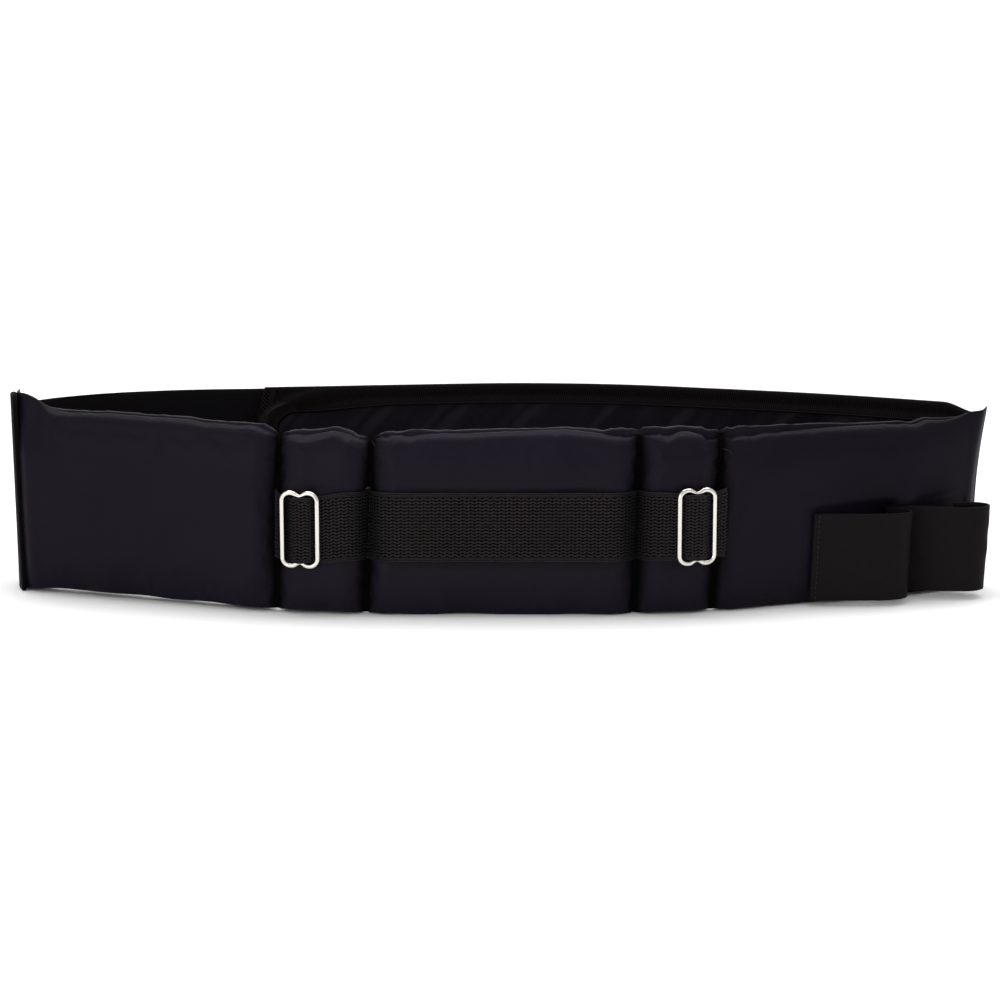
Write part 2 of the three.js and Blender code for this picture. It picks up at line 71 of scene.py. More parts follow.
# %% [markdown]
# ## Measures of the pad
# The pad is one long envelope of nylon, sewn across into cells and stuffed, so its shape follows from two
# short tables: the cells and the sewn lines between them. They could be modelled one by one, but a table
# keeps them in step with the measured model. Lengths are in millimetres, as a sewing pattern has them.

# %% Tables of the cells and the sewn lines
MM = 0.001
TO_MIDDLE = np.array([-0.8212, 0.0514])
FLAT = 1.8
STITCHED = 2.4
PUFF = np.array([0.62, 0.62, 0.62, 0.62, 0.62, 1.25])
CELL_WIDTH = np.array([11, 151, 49, 143.8, 43.4, 150.4, 7])
CELL_HEADING = np.array([-86, -18.3, -5.5, 0, 7, 18.6, 60])
CELL_THICK = np.array([FLAT, 17, 19.5, 18.5, 19.5, 15.4, FLAT])
CELL_LOW = np.array([[0, 0], [3.0, 1.3], [1.8, 0.6], [0, 0], [0.3, 0.8], [0, 1.2], [1.5, 1.5]])
CELL_HIGH = np.array([
    [111.6, 111.4], [101.6, 103], [101.6, 101.8], [101, 101.4], [103, 103.4], [101.2, 98.8], [102, 102.6]])
SEAM_TURN = np.array([5, 14, 14, 14, 14, 5])
SEAM_LOW = np.array([0.6, 1.5, 0.6, 0.3, 0.9, 1.5])
SEAM_HIGH = np.array([111.2, 99.2, 98.6, 99, 97.4, 100.6])
SEAM_LEAN = np.array([-2, 2.6, 4.2, 2.4, 4.4, 3.6])
SEAM_CLIMB = np.array([26, 12, 12, 12, 12, 11])
SEAM_ROUND = np.array([10, 12, 12, 12, 12, 40])
SEAM_FLOOR = np.array([0, 0.9, 0.9, 0.9, 0.9, 0])
SEAM_AT = np.cumsum(CELL_WIDTH)[:-1]
PAD_LENGTH = CELL_WIDTH.sum()
PAD_CENTRE = (1.4, -59.2)
print("the pad is", round(PAD_LENGTH), "mm long, sewn across at", SEAM_AT.round())


# %% Blends, and the pad's middle line in plan
def smooth(t):
    t = np.clip(t, 0, 1)
    return t * t * (3 - 2 * t)


def mix(a, b, t):
    return a + (b - a) * t


def hill(at, middle, spread):
    return np.exp(-(((at - middle) / spread) ** 2))


def heading_at(s):
    turns = np.diff(CELL_HEADING) * smooth((np.asarray(s)[..., None] - SEAM_AT) / SEAM_TURN + 0.5)
    return np.radians(CELL_HEADING[0] + turns.sum(-1))


STRIDE = 0.5
walked = np.arange(0, PAD_LENGTH + STRIDE, STRIDE)
strides = heading_at(walked[:-1] + STRIDE / 2)
walk_x = np.concatenate([[0], np.cumsum(np.cos(strides) * STRIDE)])
walk_y = np.concatenate([[0], np.cumsum(np.sin(strides) * STRIDE)])
centre_at = (SEAM_AT[2] + SEAM_AT[3]) / 2
walk_x += PAD_CENTRE[0] - np.interp(centre_at, walked, walk_x) + TO_MIDDLE[0]
walk_y += PAD_CENTRE[1] - np.interp(centre_at, walked, walk_y) + TO_MIDDLE[1]


def pad_plan(s, off):
    """A plan point s along the pad, and off in front of its middle line."""
    heading = heading_at(s)
    x = np.interp(s, walked, walk_x) + off * np.sin(heading)
    y = np.interp(s, walked, walk_y) - off * np.cos(heading)
    return np.stack([x, y], -1)


print("the pad runs from", pad_plan(0, 0).round(1), "to", pad_plan(PAD_LENGTH, 0).round(1))


# %% The pad's thickness, edges and lean at any distance along it
def nearest_seam(s):
    away = np.abs(np.asarray(s)[..., None] - SEAM_AT)
    seam = away.argmin(-1)
    return seam, away.min(-1)


def pad_half(s):
    s = np.asarray(s, float)
    cell = np.searchsorted(SEAM_AT, s, side="right")
    seam, away = nearest_seam(s)
    way = np.clip((away - SEAM_FLOOR[seam]) / SEAM_ROUND[seam], 0, 1)
    rise = (1 - (1 - way) ** 2) ** PUFF[seam]
    outer = (s < SEAM_AT[1] - CELL_WIDTH[1] / 2) | (s > SEAM_AT[4] + CELL_WIDTH[5] / 2)
    thin = np.where(outer, FLAT, STITCHED)
    return np.where(CELL_THICK[cell] == FLAT, FLAT / 2, mix(thin / 2, CELL_THICK[cell] / 2, rise))


def pad_edges(s):
    s = np.asarray(s, float)
    cell = np.searchsorted(SEAM_AT, s, side="right")
    seam, away = nearest_seam(s)
    way = away / SEAM_CLIMB[seam]
    across = (s - np.concatenate([[0], SEAM_AT])[cell]) / CELL_WIDTH[cell]
    low = mix(SEAM_LOW[seam], mix(CELL_LOW[cell, 0], CELL_LOW[cell, 1], across), smooth(way))
    high = mix(SEAM_HIGH[seam], mix(CELL_HIGH[cell, 0], CELL_HIGH[cell, 1], across), smooth(way))
    return low, high


def lean_at(s):
    return np.interp(s, SEAM_AT, SEAM_LEAN)


def standing(plan, z, lean):
    """Plan points and heights as points in space, leaning to the right as they go up."""
    x = plan[..., 0] + lean * (z - 50) / 100
    return np.stack(np.broadcast_arrays(x, plan[..., 1], z), -1)


print("thickest", round(2 * pad_half(walked).max(), 1), "mm")
print("tallest", round(pad_edges(walked)[1].max(), 1), "mm")


# %% [markdown]
# ## From rows of points to a mesh
# Most of these pieces are rows of points: the same section, repeated along the piece. Skinning the rows
# gives clean quads that follow the cloth, which bend well and carry a map that measures real cloth. A
# boolean or a remesh would lose that map, so every cloth here is skinned.

# %% Skinning rows of points
def ladder_cap(count):
    """Quads that close a ring which climbs one side and comes down the other."""
    return [(k, k + 1, count - 2 - k, count - 1 - k) for k in range(count // 2 - 1)]


def passed_along(points):
    """The length of the way up to each point, from the first one."""
    return np.concatenate([[0], np.cumsum(np.linalg.norm(np.diff(points, axis=0), axis=-1))])


def length_along(rows):
    """How far along each row lies, in metres, as the cloth's map has it."""
    return passed_along(rows[:, 0]) * MM


def skin(name, rows):
    """A closed body through rows of points, in millimetres, with a map in metres of cloth."""
    count, around = rows.shape[:2]
    i, j = np.meshgrid(np.arange(count - 1), np.arange(around), indexing="ij")
    k = (j + 1) % around
    here, there = i * around, (i + 1) * around
    faces = np.stack([here + j, there + j, there + k, here + k], -1).reshape(-1, 4).tolist()
    last = (count - 1) * around
    faces += [list(cap) for cap in ladder_cap(around)]
    faces += [[last + v for v in reversed(cap)] for cap in ladder_cap(around)]
    mesh = bpy.data.meshes.new(name)
    mesh.from_pydata((rows.reshape(-1, 3) * MM).tolist(), [], faces)
    along = length_along(rows)
    middle = rows[count // 2]
    round_it = np.linalg.norm(np.roll(middle, -1, axis=0) - middle, axis=-1)
    across = np.concatenate([[0], np.cumsum(round_it)]) * MM
    uv = np.zeros((len(mesh.loops), 2))
    corners = np.stack([along[i], across[j], along[i + 1], across[j], along[i + 1], across[j + 1], along[i],
                        across[j + 1]], -1).reshape(-1, 2)
    uv[:len(corners)] = corners
    mesh.uv_layers.new(name="cloth").data.foreach_set("uv", uv.ravel())
    piece = bpy.data.objects.new(name, mesh)
    bpy.context.scene.collection.objects.link(piece)
    face_out(piece)
    mesh.polygons.foreach_set("use_smooth", [True] * len(mesh.polygons))
    return piece


def signed_volume(mesh):
    mesh.calc_loop_triangles()
    points = np.empty(len(mesh.vertices) * 3)
    mesh.vertices.foreach_get("co", points)
    corners = np.empty(len(mesh.loop_triangles) * 3, int)
    mesh.loop_triangles.foreach_get("vertices", corners)
    a, b, c = points.reshape(-1, 3)[corners.reshape(-1, 3)].transpose(1, 0, 2)
    return float((a * np.cross(b, c)).sum() / 6)


def face_out(piece):
    if signed_volume(piece.data) < 0:
        piece.data.flip_normals()


def belongs(piece, slot, finish, *nodes):
    """The piece rides on the harness, takes its finish, and stands for the model's nodes."""
    piece.data.materials.clear()
    piece.data.materials.append(finish)
    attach(piece, "root")
    if nodes:
        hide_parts(*nodes)
    print(piece.name, len(piece.data.polygons), "faces")


# %% [markdown]
# ## Writing finishes as sums
# A material's pattern is arithmetic on places: a weave is two waves multiplied, wear is noise times a
# mask. Node by node that is long to read, so one small class stands for an output of the tree, and sums
# written on it add the Math nodes.

# %% A finish, and shader maths on its values
class Value:
    """One output of a finish's tree. Arithmetic on it adds Math nodes."""

    def __init__(self, finish, socket):
        self.finish, self.socket = finish, socket

    def math(self, operation, *values):
        return self.finish.node("ShaderNodeMath", {"operation": operation}, dict(enumerate(values)))

    def __add__(self, other):
        return self.math("ADD", self, other)

    __radd__ = __add__

    def __sub__(self, other):
        return self.math("SUBTRACT", self, other)

    def __rsub__(self, other):
        return self.math("SUBTRACT", other, self)

    def __mul__(self, other):
        return self.math("MULTIPLY", self, other)

    __rmul__ = __mul__

    def __truediv__(self, other):
        return self.math("DIVIDE", self, other)

    def __rtruediv__(self, other):
        return self.math("DIVIDE", other, self)

    def sine(self):
        return self.math("SINE", self)

    def power(self, other):
        return self.math("POWER", self, other)

    def clamped(self):
        return self.finish.node("ShaderNodeClamp", {}, {0: self})

    def near(self, middle, reach):
        """1 at a value, and soon 0 past this reach to either side of it."""
        off = (self - middle) * (1 / reach)
        return 1 / (off.power(4) + 1)


class Finish:
    """A material in the making."""

    def __init__(self, name):
        self.material = bpy.data.materials.new(name)
        self.material.use_nodes = True
        self.tree = self.material.node_tree
        self.tree.nodes.clear()

    def node(self, kind, settings=None, sockets=None, output=0):
        """Any node: its settings first, a ramp's stops among them, then its sockets' values or links."""
        made = self.tree.nodes.new(kind)
        for key, value in (settings or {}).items():
            if key == "stops":
                ramp = made.color_ramp.elements
                while len(ramp) < len(value):
                    ramp.new(0.5)
                for stop, (place, level) in zip(ramp, value):
                    stop.position, stop.color = place, (level, level, level, 1)
            else:
                setattr(made, key, value)
        for key, value in (sockets or {}).items():
            if isinstance(value, Value):
                self.tree.links.new(value.socket, made.inputs[key])
            else:
                made.inputs[key].default_value = value
        return Value(self, made.outputs[output])

    def cloth_places(self):
        """How far along and across the cloth, in millimetres of its own map."""
        places = self.node("ShaderNodeUVMap", {"uv_map": "cloth"})
        split = self.node("ShaderNodeSeparateXYZ", {}, {0: places})
        other = Value(self, split.socket.node.outputs[1])
        return split * (1 / MM), other * (1 / MM)

    def rightward(self):
        """How far to the right a place is, in millimetres."""
        places = self.node("ShaderNodeTexCoord", output=3)
        return self.node("ShaderNodeSeparateXYZ", {}, {0: places}) * (1 / MM)

    def upward(self):
        """How high a place is, in millimetres."""
        places = self.node("ShaderNodeTexCoord", output=3)
        return self.node("ShaderNodeSeparateXYZ", {}, {0: places}, output=2) * (1 / MM)

    def noise(self, scale, detail=2.0, roughness=0.5, stretch=(1, 1, 1)):
        """Noise between 0 and 1 on the object's own places; scale is how often it changes in a metre."""
        places = self.node("ShaderNodeTexCoord", output=3)
        placed = self.node("ShaderNodeMapping", {}, {"Vector": places, "Scale": stretch})
        return self.node("ShaderNodeTexNoise", {}, {"Vector": placed, "Scale": scale, "Detail": detail,
                                                    "Roughness": roughness})

    def between(self, dark, light, share):
        """A colour from dark to light by a share."""
        return self.between_colours((*dark, 1), light, share)

    def between_colours(self, start, end, share):
        """From a first colour, in the tree or plain with its alpha, to a plain one, by a share."""
        sockets = {0: share, 6: start, 7: (*end, 1)}
        return self.node("ShaderNodeMix", {"data_type": "RGBA"}, sockets, output=2)

    def raised(self, height, depth, strength=1.0):
        """The normal of a surface with this height on it; depth is metres for each unit."""
        return self.node("ShaderNodeBump", {}, {"Height": height, "Distance": depth, "Strength": strength})

    def surface(self, **sockets):
        labels = [key.replace("_", " ").title().replace("Ior", "IOR") for key in sockets]
        shader = self.node("ShaderNodeBsdfPrincipled", {}, dict(zip(labels, sockets.values())))
        self.node_output(shader)
        return self.material

    def node_output(self, shader):
        end = self.tree.nodes.new("ShaderNodeOutputMaterial")
        self.tree.links.new(shader.socket, end.inputs["Surface"])


TURN = 2 * math.pi

# %% [markdown]
# ## The pad's nylon
# The cover is a close plain weave of thin nylon, almost black with a cold violet cast. It looks flat from
# the front and glints where it turns away, because a smooth synthetic reflects most at a glancing angle.
# That is the plain Fresnel of a low index, so the index is set low and no white is painted on the edges.
# The weave is two waves on the cloth's own map, and a soft noise makes the sheen uneven, as handled nylon
# is. Deep in each sewn line the colour goes nearly black as painted shade for the groove, and the middle
# of the pad is coloured a little lighter as painted light.


# %% Nylon
def nylon_finish(name, dark, light, rough, painted_shade_at=()):
    finish = Finish(name)
    along, across = finish.cloth_places()
    thread = 0.42
    weave = (along * (TURN / thread)).sine() * (across * (TURN / thread)).sine()
    handled = finish.noise(26, detail=4, roughness=0.6)
    crease = finish.noise(90, detail=3, stretch=(1, 1, 0.6))
    colour = finish.between(dark, light, handled)
    roughness = handled * 0.14 + (rough - 0.07)
    if len(painted_shade_at):
        # painted light: the pad's middle is coloured lighter than its wings, as if lit more
        colour = finish.between_colours(colour, PAINTED_LIGHT_MIDDLE, finish.rightward().near(-25, 135) * 0.7)
        # painted shade: deep in each sewn groove the colour goes nearly black, fading out toward the crest
        painted_shade = sum(along.near(place, 3) * 0.76 + along.near(place, 6) * 0.23 for place in painted_shade_at)
        painted_shade = painted_shade * ((SHADE_BELOW - finish.upward()) * 0.8).clamped()
        colour = finish.between_colours(colour, PAINTED_SHADE_COLOUR, painted_shade)
        roughness = roughness + painted_shade * 0.5
    height = weave * 0.06 + crease * 0.5
    normal = finish.raised(height, 0.00035, 0.5)
    return finish.surface(base_color=colour, roughness=roughness, normal=normal,
                          specular_ior_level=NYLON_SHINE)


# colours of the painted shade in the grooves, and of the painted light on the pad's middle
PAINTED_SHADE_COLOUR, PAINTED_LIGHT_MIDDLE = (0.0003, 0.0002, 0.0005), (0.0094, 0.0073, 0.0136)
# the painted groove shade fades out above this height, in millimetres
SHADE_BELOW = 99.4
NYLON_SHINE = 0.05
thread_nylon = nylon_finish("nylon_thread", (0.0007, 0.0006, 0.0010), (0.0017, 0.0015, 0.0023), 0.6)

# %% [markdown]
# ## The stuffed cover
# A stuffed cell is round in section, with a flat foot, a sewn line along the middle of its crest, and
# sides that pull in to each sewn line. It could be sculpted by hand, or cut from a box, but then the
# seams would drift. Here one section is swept along the pad, and its thickness comes from the tables
# above. The cloth simulation that follows adds what no table has: the slack and the small puckers.

# %% The pad's section
# Share of the half thickness, front positive, and share of the height, once round from the foot.
SECTION = np.array([
    (0, 0.006), (0.2, 0), (0.42, 0.004), (0.62, 0.022), (0.84, 0.08), (0.96, 0.22), (1, 0.5), (0.97, 0.77),
    (0.88, 0.885), (0.71, 0.953), (0.49, 0.984), (0.26, 0.996), (0.06, 1), (-0.12, 1), (-0.3, 1),
    (-0.5, 0.993), (-0.7, 0.968), (-0.88, 0.905), (-0.97, 0.78), (-1, 0.5), (-0.96, 0.22), (-0.84, 0.08),
    (-0.62, 0.022), (-0.42, 0.004), (-0.2, 0)])
CREST_SEAM = -0.1
USUAL_HALF, USUAL_HEIGHT = 9.25, 101


def even_loop(points, spacing, fine_spacing, fine_above):
    """Points round a smooth closed curve, closer together above a height."""
    t = np.linspace(0, len(points), 40 * len(points), endpoint=False)
    k, f = t.astype(int), (t % 1)[:, None]
    p = [points[(k + d) % len(points)] for d in (-1, 0, 1, 2)]
    dense = 0.5 * (2 * p[1] + (p[2] - p[0]) * f + (2 * p[0] - 5 * p[1] + 4 * p[2] - p[3]) * f ** 2
                   + (3 * (p[1] - p[2]) + p[3] - p[0]) * f ** 3)
    scaled = dense * (USUAL_HALF, USUAL_HEIGHT)
    steps = np.linalg.norm(np.roll(scaled, -1, axis=0) - scaled, axis=-1)
    density = 1 / mix(spacing, fine_spacing, smooth((dense[:, 1] - fine_above) / 0.06 + 0.5))
    density *= 1 + 1.4 * hill(dense[:, 0], CREST_SEAM, 0.16) * (dense[:, 1] > fine_above)
    passed = np.concatenate([[0], np.cumsum(steps * density)])
    total = 2 * round(passed[-1] / 2)
    places = np.interp(np.arange(total) * passed[-1] / total, passed, np.arange(len(dense) + 1))
    return np.stack([np.interp(places, np.arange(len(dense) + 1), np.append(dense[:, d], dense[0, d]))
                     for d in (0, 1)], -1)


ring = even_loop(SECTION, spacing=1.75, fine_spacing=0.72, fine_above=0.9)
print(len(ring), "points round the pad")


# %% Stations along the pad, closer together beside each sewn line
def pad_stations(near, usual, close):
    """Even counts between the seams, so that every second station still has every seam."""
    ends = [0, *SEAM_AT, PAD_LENGTH]
    kept = [0.0]
    for start, end in zip(ends[:-1], ends[1:]):
        length = end - start
        t = np.linspace(0, 1, 2001)
        edge = np.minimum(t, 1 - t) * length
        density = 1 / mix(near, usual, smooth(edge / close))
        passed = np.concatenate([[0], np.cumsum((density[1:] + density[:-1]) / 2 * np.diff(t) * length)])
        pieces = max(4, 2 * round(passed[-1] / 2))
        kept += list(start + np.interp(np.arange(1, pieces + 1) * passed[-1] / pieces, passed, t) * length)
    return np.array(kept)


stations = pad_stations(near=0.45, usual=1.4, close=9)
print(len(stations), "stations along the pad")


# %% [markdown]
# ### Where the crest was gathered
# Where the envelope was closed along its top, the back cloth stands a little above the front, and beside
# some seams the front droops well below it. Such folds have their own places, which a simulation would
# not repeat, so they are tables read off the photograph: how far the back edge rises, how far below it
# the front lies, and how deep the fold between them stays open.

# %% The crest's back edge, the droop of the front, and the open fold
# (along the pad, millimetres)
BACK_EDGE = [
    (0, 0), (12, 0), (16, 0.5), (21, 0.8), (25, 0.4), (29, -0.8), (33, 0.1), (37, 0.2), (45, 0.3),
    (60, 0.8), (75, 0.7), (90, 0.6), (105, 0), (120, -0.6), (132, -0.7), (143, -0.8), (150, -1),
    (156, -1.1), (162, -1.1), (168, -1.9), (173, -2.4), (177, -2.4), (182, -1.9), (187, -1.2),
    (192, -0.5), (197, -2), (201, -3.8), (204, -4.2), (208, -2.7), (211, -1.5), (216, -1.5), (221, -2),
    (226, -2.2), (231, -1.3), (236, -0.9), (241, -1.2), (246, -1.6), (256, -1.3), (270, -0.8),
    (285, -0.2), (300, 0.2), (315, 0.3), (326, -0.9), (331, -1.5), (336, -1.9), (341, -0.9),
    (346, -0.5), (350, 0.5), (353, 2), (355, 2.4), (357, 2.1), (361, 0.3), (365, -1.6), (370, -2.5),
    (375, -2), (381, -2.4), (386, -3), (390, -2.9), (393, -1), (396, 1.6), (399, 2.8), (401, 2.4),
    (404, 0.2), (408, -0.8), (413, -0.6), (418, -1), (426, -1.1), (434, -0.8), (446, -1.1), (458, -1.4),
    (470, -2.2), (482, -2.8), (494, -2.8), (500, -2.6), (505, -2.5), (508, -3.3), (511, -3.9),
    (514, -3.1), (519, -1.5), (524, -2.1), (531, -2.2), (538, -1.1), (543, -0.4), (549, 0)]
FRONT_DROOP = [
    (0, 0), (30, 0.1), (110, 0.1), (118, 0.5), (128, 0.3), (140, 0.8), (147, 0.4), (152, 1.4), (158, 1),
    (162, 0.5), (168, 0.8), (175.6, 1.8), (184, 0.9), (190, 0.4), (195, 0.9), (202, 0.5), (208, 1),
    (213, 0.4), (219, 1.4), (226, 0.4), (232, 1.8), (240, 1.2), (246, 0.3), (262, 0.7), (284, 0.3),
    (300, 0), (335, 0.4), (340, 2.2), (345, 3), (350, 2.8), (355, 2.6), (360, 2.8), (366, 2.6),
    (371, 2.8), (375, 1.6), (379, 1.1), (384, 1.7), (389, 2.8), (394, 4), (398, 3.6), (402, 4.4),
    (406, 4.3), (411, 4), (415, 4.1), (419, 3.4), (424, 2.6), (430, 2.8), (436, 2.4), (446, 1.9),
    (460, 1.2), (474, 0.3), (494, 0.1), (502, 0.6), (508, 0.1), (549, 0)]
OPEN_FOLD = [
    (0, 0), (30, 0), (40, 0.5), (183, 0.6), (187, 2.2), (191, 2.2), (195, 0.5), (206, 0.3), (216, 1.4),
    (222, 0.5), (230, 1.8), (238, 0.8), (330, 0.5), (337, 1.4), (343, 3.4), (350, 3.6), (356, 1.6),
    (360, 3), (366, 1.2), (371, 2.6), (379, 3.4), (386, 1.4), (391, 3.2), (396, 3.4), (401, 1.2),
    (410, 1), (416, 2.2), (424, 1), (436, 2.6), (446, 1.6), (460, 1.8), (474, 1), (500, 1.6),
    (506, 1.2), (530, 0.6), (538, 0.3), (549, 0)]


def read_off(s, table, ease=1.4):
    """A table's value at s, with its corners rounded off over this distance."""
    at, value = np.array(table).T
    return sum(np.interp(s + shift * ease, at, value) for shift in (-1, -0.5, 0, 0.5, 1)) / 5


def ripple(u, v, seed, count=7):
    """Soft uneven waves between about -1 and 1, the same every time for the same seed."""
    dice = np.random.default_rng(seed)
    angle, phase = dice.uniform(0, TURN, (2, count))
    stretch = dice.uniform(0.6, 1.5, count)
    waves = [np.sin(TURN * k * (u * math.cos(a) + v * math.sin(a)) + p)
             for k, a, p in zip(stretch, angle, phase)]
    return sum(waves) / math.sqrt(count)


# %% The pad's surface before the stuffing presses on it
WEBBING_ROOM = (27, 73)
DIMPLE_X, DIMPLE_DEEP, DIMPLE_SPREAD = 212.6 + TO_MIDDLE[0], 6.9, 7.8
FLARE = 4
LEFT_PULL = 1.15
EAR_PINCH = 0.74
LEDGE, FOLD_REACH = 1.1, 0.085


def pad_surface(along, section):
    s, share, up = along[:, None], section[None, :, 0], section[None, :, 1]
    half = pad_half(s)
    low, high = pad_edges(s)
    plan_x = pad_plan(along, 0)[:, 0][:, None]
    dimple = DIMPLE_DEEP * hill(plan_x, DIMPLE_X, DIMPLE_SPREAD)
    drawn = dimple * smooth((0.56 - up) / 0.1) * np.maximum(share, 0)
    z = mix(low, high, up)
    pinched = 1 - EAR_PINCH * smooth((up - 0.68) / 0.3) * (1 - smooth((s - 20) / 15))
    plan = pad_plan(np.broadcast_to(s, z.shape), half * share * pinched - drawn)
    stuffed = smooth((half - 2) / 4)
    crest = smooth((up - 0.8) / 0.2)
    front = smooth((share - CREST_SEAM + 0.02) / 0.12)
    z = z + crest * (read_off(s, BACK_EDGE) - front * read_off(s, FRONT_DROOP))
    behind = np.clip((CREST_SEAM - share) / 0.34, 0, 1)
    plateau = smooth((CREST_SEAM - share) / 0.05) * (0.3 + 0.7 * behind)
    plateau = plateau * (1 - smooth((-0.5 - share) / 0.25))
    ledge = LEDGE * plateau * smooth((s - 24) / 12)
    z = z + stuffed * crest * (ledge - read_off(s, OPEN_FOLD) * hill(share, CREST_SEAM + 0.03, FOLD_REACH))
    flare = FLARE * smooth((s - SEAM_AT[-1]) / CELL_WIDTH[-1] + 0.5) * np.maximum(0, 2 * up - 1) ** 2
    pull = LEFT_PULL * smooth(s / 9) * (1 - smooth((s - 14) / 26))
    points = standing(plan, z, lean_at(s))
    points[..., 0] += flare - pull
    return points


def normals_of(points):
    """The outward direction at each point of rows that close on themselves."""
    along = np.gradient(points, axis=0)
    around = np.roll(points, -1, axis=1) - np.roll(points, 1, axis=1)
    square = np.cross(around, along)
    return square / np.maximum(np.linalg.norm(square, axis=-1, keepdims=True), 1e-9)


cover_points = pad_surface(stations, ring)
outward = normals_of(cover_points)
middle_row, front_point = len(stations) // 2, int(ring[:, 0].argmax())
if outward[middle_row, front_point, 1] > 0:
    outward = -outward
print("cover grid", cover_points.shape, "front normal", outward[middle_row, front_point].round(2))


# %% [markdown]
# ### Stuffing it
# Real stuffing presses the cover out until the seams hold it. The cloth simulation does the same: the
# sewn lines are pinned, pressure pushes from inside, and the cloth is a little too large for its frame,
# so it puckers. It runs on every second row and column, which is quick, and only its movement is kept,
# softly limited, so that the webbing and the elastic still lie on the cloth.

# %% Cloth simulation of the cover
def stuffed_by(points, pinned):
    """How far each point of a closed cover moves when it is stuffed, in millimetres."""
    cover = skin("stuffing", points)
    sewn = cover.vertex_groups.new(name="sewn")
    sewn.add(np.flatnonzero(pinned.ravel()).tolist(), 1.0, "REPLACE")
    cloth = cover.modifiers.new("stuffing", "CLOTH")
    rules = cloth.settings
    rules.quality = 5
    rules.mass = 0.2
    rules.tension_stiffness = rules.compression_stiffness = 12
    rules.shear_stiffness = 4
    rules.bending_stiffness = 0.02
    rules.use_pressure = True
    rules.uniform_pressure_force = 3.2
    rules.shrink_min = -0.03
    rules.vertex_group_mass = "sewn"
    rules.effector_weights.gravity = 0
    cloth.collision_settings.use_collision = False
    cloth.collision_settings.use_self_collision = False
    scene = bpy.context.scene
    for step in range(1, 21):
        scene.frame_set(step)
    shown = cover.evaluated_get(bpy.context.evaluated_depsgraph_get()).to_mesh()
    moved = np.empty(len(shown.vertices) * 3)
    shown.vertices.foreach_get("co", moved)
    scene.frame_set(1)
    mesh = cover.data
    bpy.data.objects.remove(cover)
    bpy.data.meshes.remove(mesh)
    return moved.reshape(points.shape) / MM - points


def halfway(values, axis, closed):
    """Values with a smooth in-between one after each along an axis."""
    values = np.moveaxis(values, axis, 0)
    if closed:
        before, after, last = np.roll(values, 1, 0), np.roll(values, -1, 0), np.roll(values, -2, 0)
        between = (9 * (values + after) - before - last) / 16
    else:
        padded = np.concatenate([values[:1], values, values[-1:]])
        between = (9 * (padded[1:-2] + padded[2:-1]) - padded[:-3] - padded[3:]) / 16
    kept = np.empty((len(values) + len(between), *values.shape[1:]))
    kept[::2], kept[1::2] = values, between
    return np.moveaxis(kept, 0, axis)


MOST_MOVED = 1.5
movement = np.zeros_like(cover_points)
every_second = cover_points[::2, ::2]
s2, ring2 = stations[::2, None], ring[None, ::2]
at_seam = np.abs(s2[..., None] - SEAM_AT).min(-1) < 1.0
at_crest = np.abs(ring2[..., 0] - CREST_SEAM) + 9 * np.abs(ring2[..., 1] - 1) < 0.14
at_foot = ring2[..., 1] < 0.012
at_ends = (s2 < SEAM_AT[0] + 2) | (s2 > SEAM_AT[-1] - 2)
moved = stuffed_by(every_second, at_seam | at_crest | at_foot | at_ends)
far = np.linalg.norm(moved, axis=-1, keepdims=True)
print("the stuffing moves the cloth by up to", far.max().round(1), "mm")
movement = halfway(halfway(moved / (1 + far / MOST_MOVED), 0, False), 1, True)


# %% [markdown]
# ### Puckers that belong to the sewing
# Thread draws cloth in, so little folds run away from each sewn line, the crest is finely gathered, and
# it is crimped beside each seam. Their size is known, about a third of a millimetre, so they are added as
# waves square to the surface, strongest near the seam and gone within two fingers' width.

# %% Fine folds, and keeping off the webbing and the elastic
def end_calm(s):
    """The cloth is stretched flat toward both ends."""
    return (1 - 0.95 * smooth((s - 505) / 24)) * (0.12 + 0.88 * smooth((s - 16) / 18))


def fine_folds(points, along, section):
    s, share, up = along[:, None], section[None, :, 0], section[None, :, 1]
    z = points[..., 2]
    from_seam = np.abs(s[..., None] - SEAM_AT[1:5]).min(-1)
    puckers = 0.26 * np.exp(-from_seam / 6) * smooth(from_seam / 1.5) * ripple(z / 9 + s / 60, s / 30, 3)
    gathers = 0.1 * smooth((up - 0.93) / 0.05) * ripple(s / 7.5 + share * 0.5, share * 0.6, 5)
    beside = hill(from_seam, 8, 8) * smooth(from_seam / 2)
    crimped = ripple(s / 3.6 + share * 0.9, share * 1.3 + z / 12, 17)
    crimps = 0.26 * smooth((up - 0.87) / 0.1) * beside * crimped
    slack = 0.34 * ripple(s / 46, z / 52, 8)
    ends = 0.04 * smooth((s - 12) / 8) * np.exp(-np.maximum(s - 20, 0) / 16) * ripple(z / 16, s / 14, 11)
    calm = smooth((pad_half(s) - 1.2) / 3) * end_calm(s)
    return (puckers + gathers + crimps + slack * smooth(from_seam / 20) + ends) * calm


def under_something(points, along, section):
    """1 where the webbing or the elastic lies on the cover, and 0 away from them."""
    s, front = along[:, None], section[None, :, 0] > 0.2
    z = points[..., 2]
    webbing = (s > SEAM_AT[1] - 6) & (s < SEAM_AT[4] + 8)
    inside = smooth((z - WEBBING_ROOM[0]) / 3) * smooth((WEBBING_ROOM[1] - z) / 3)
    elastic = smooth((points[..., 0] - 160) / 6) * smooth((57 - z) / 4)
    return np.where(front, np.maximum(np.where(webbing, inside, 0), elastic), 0)


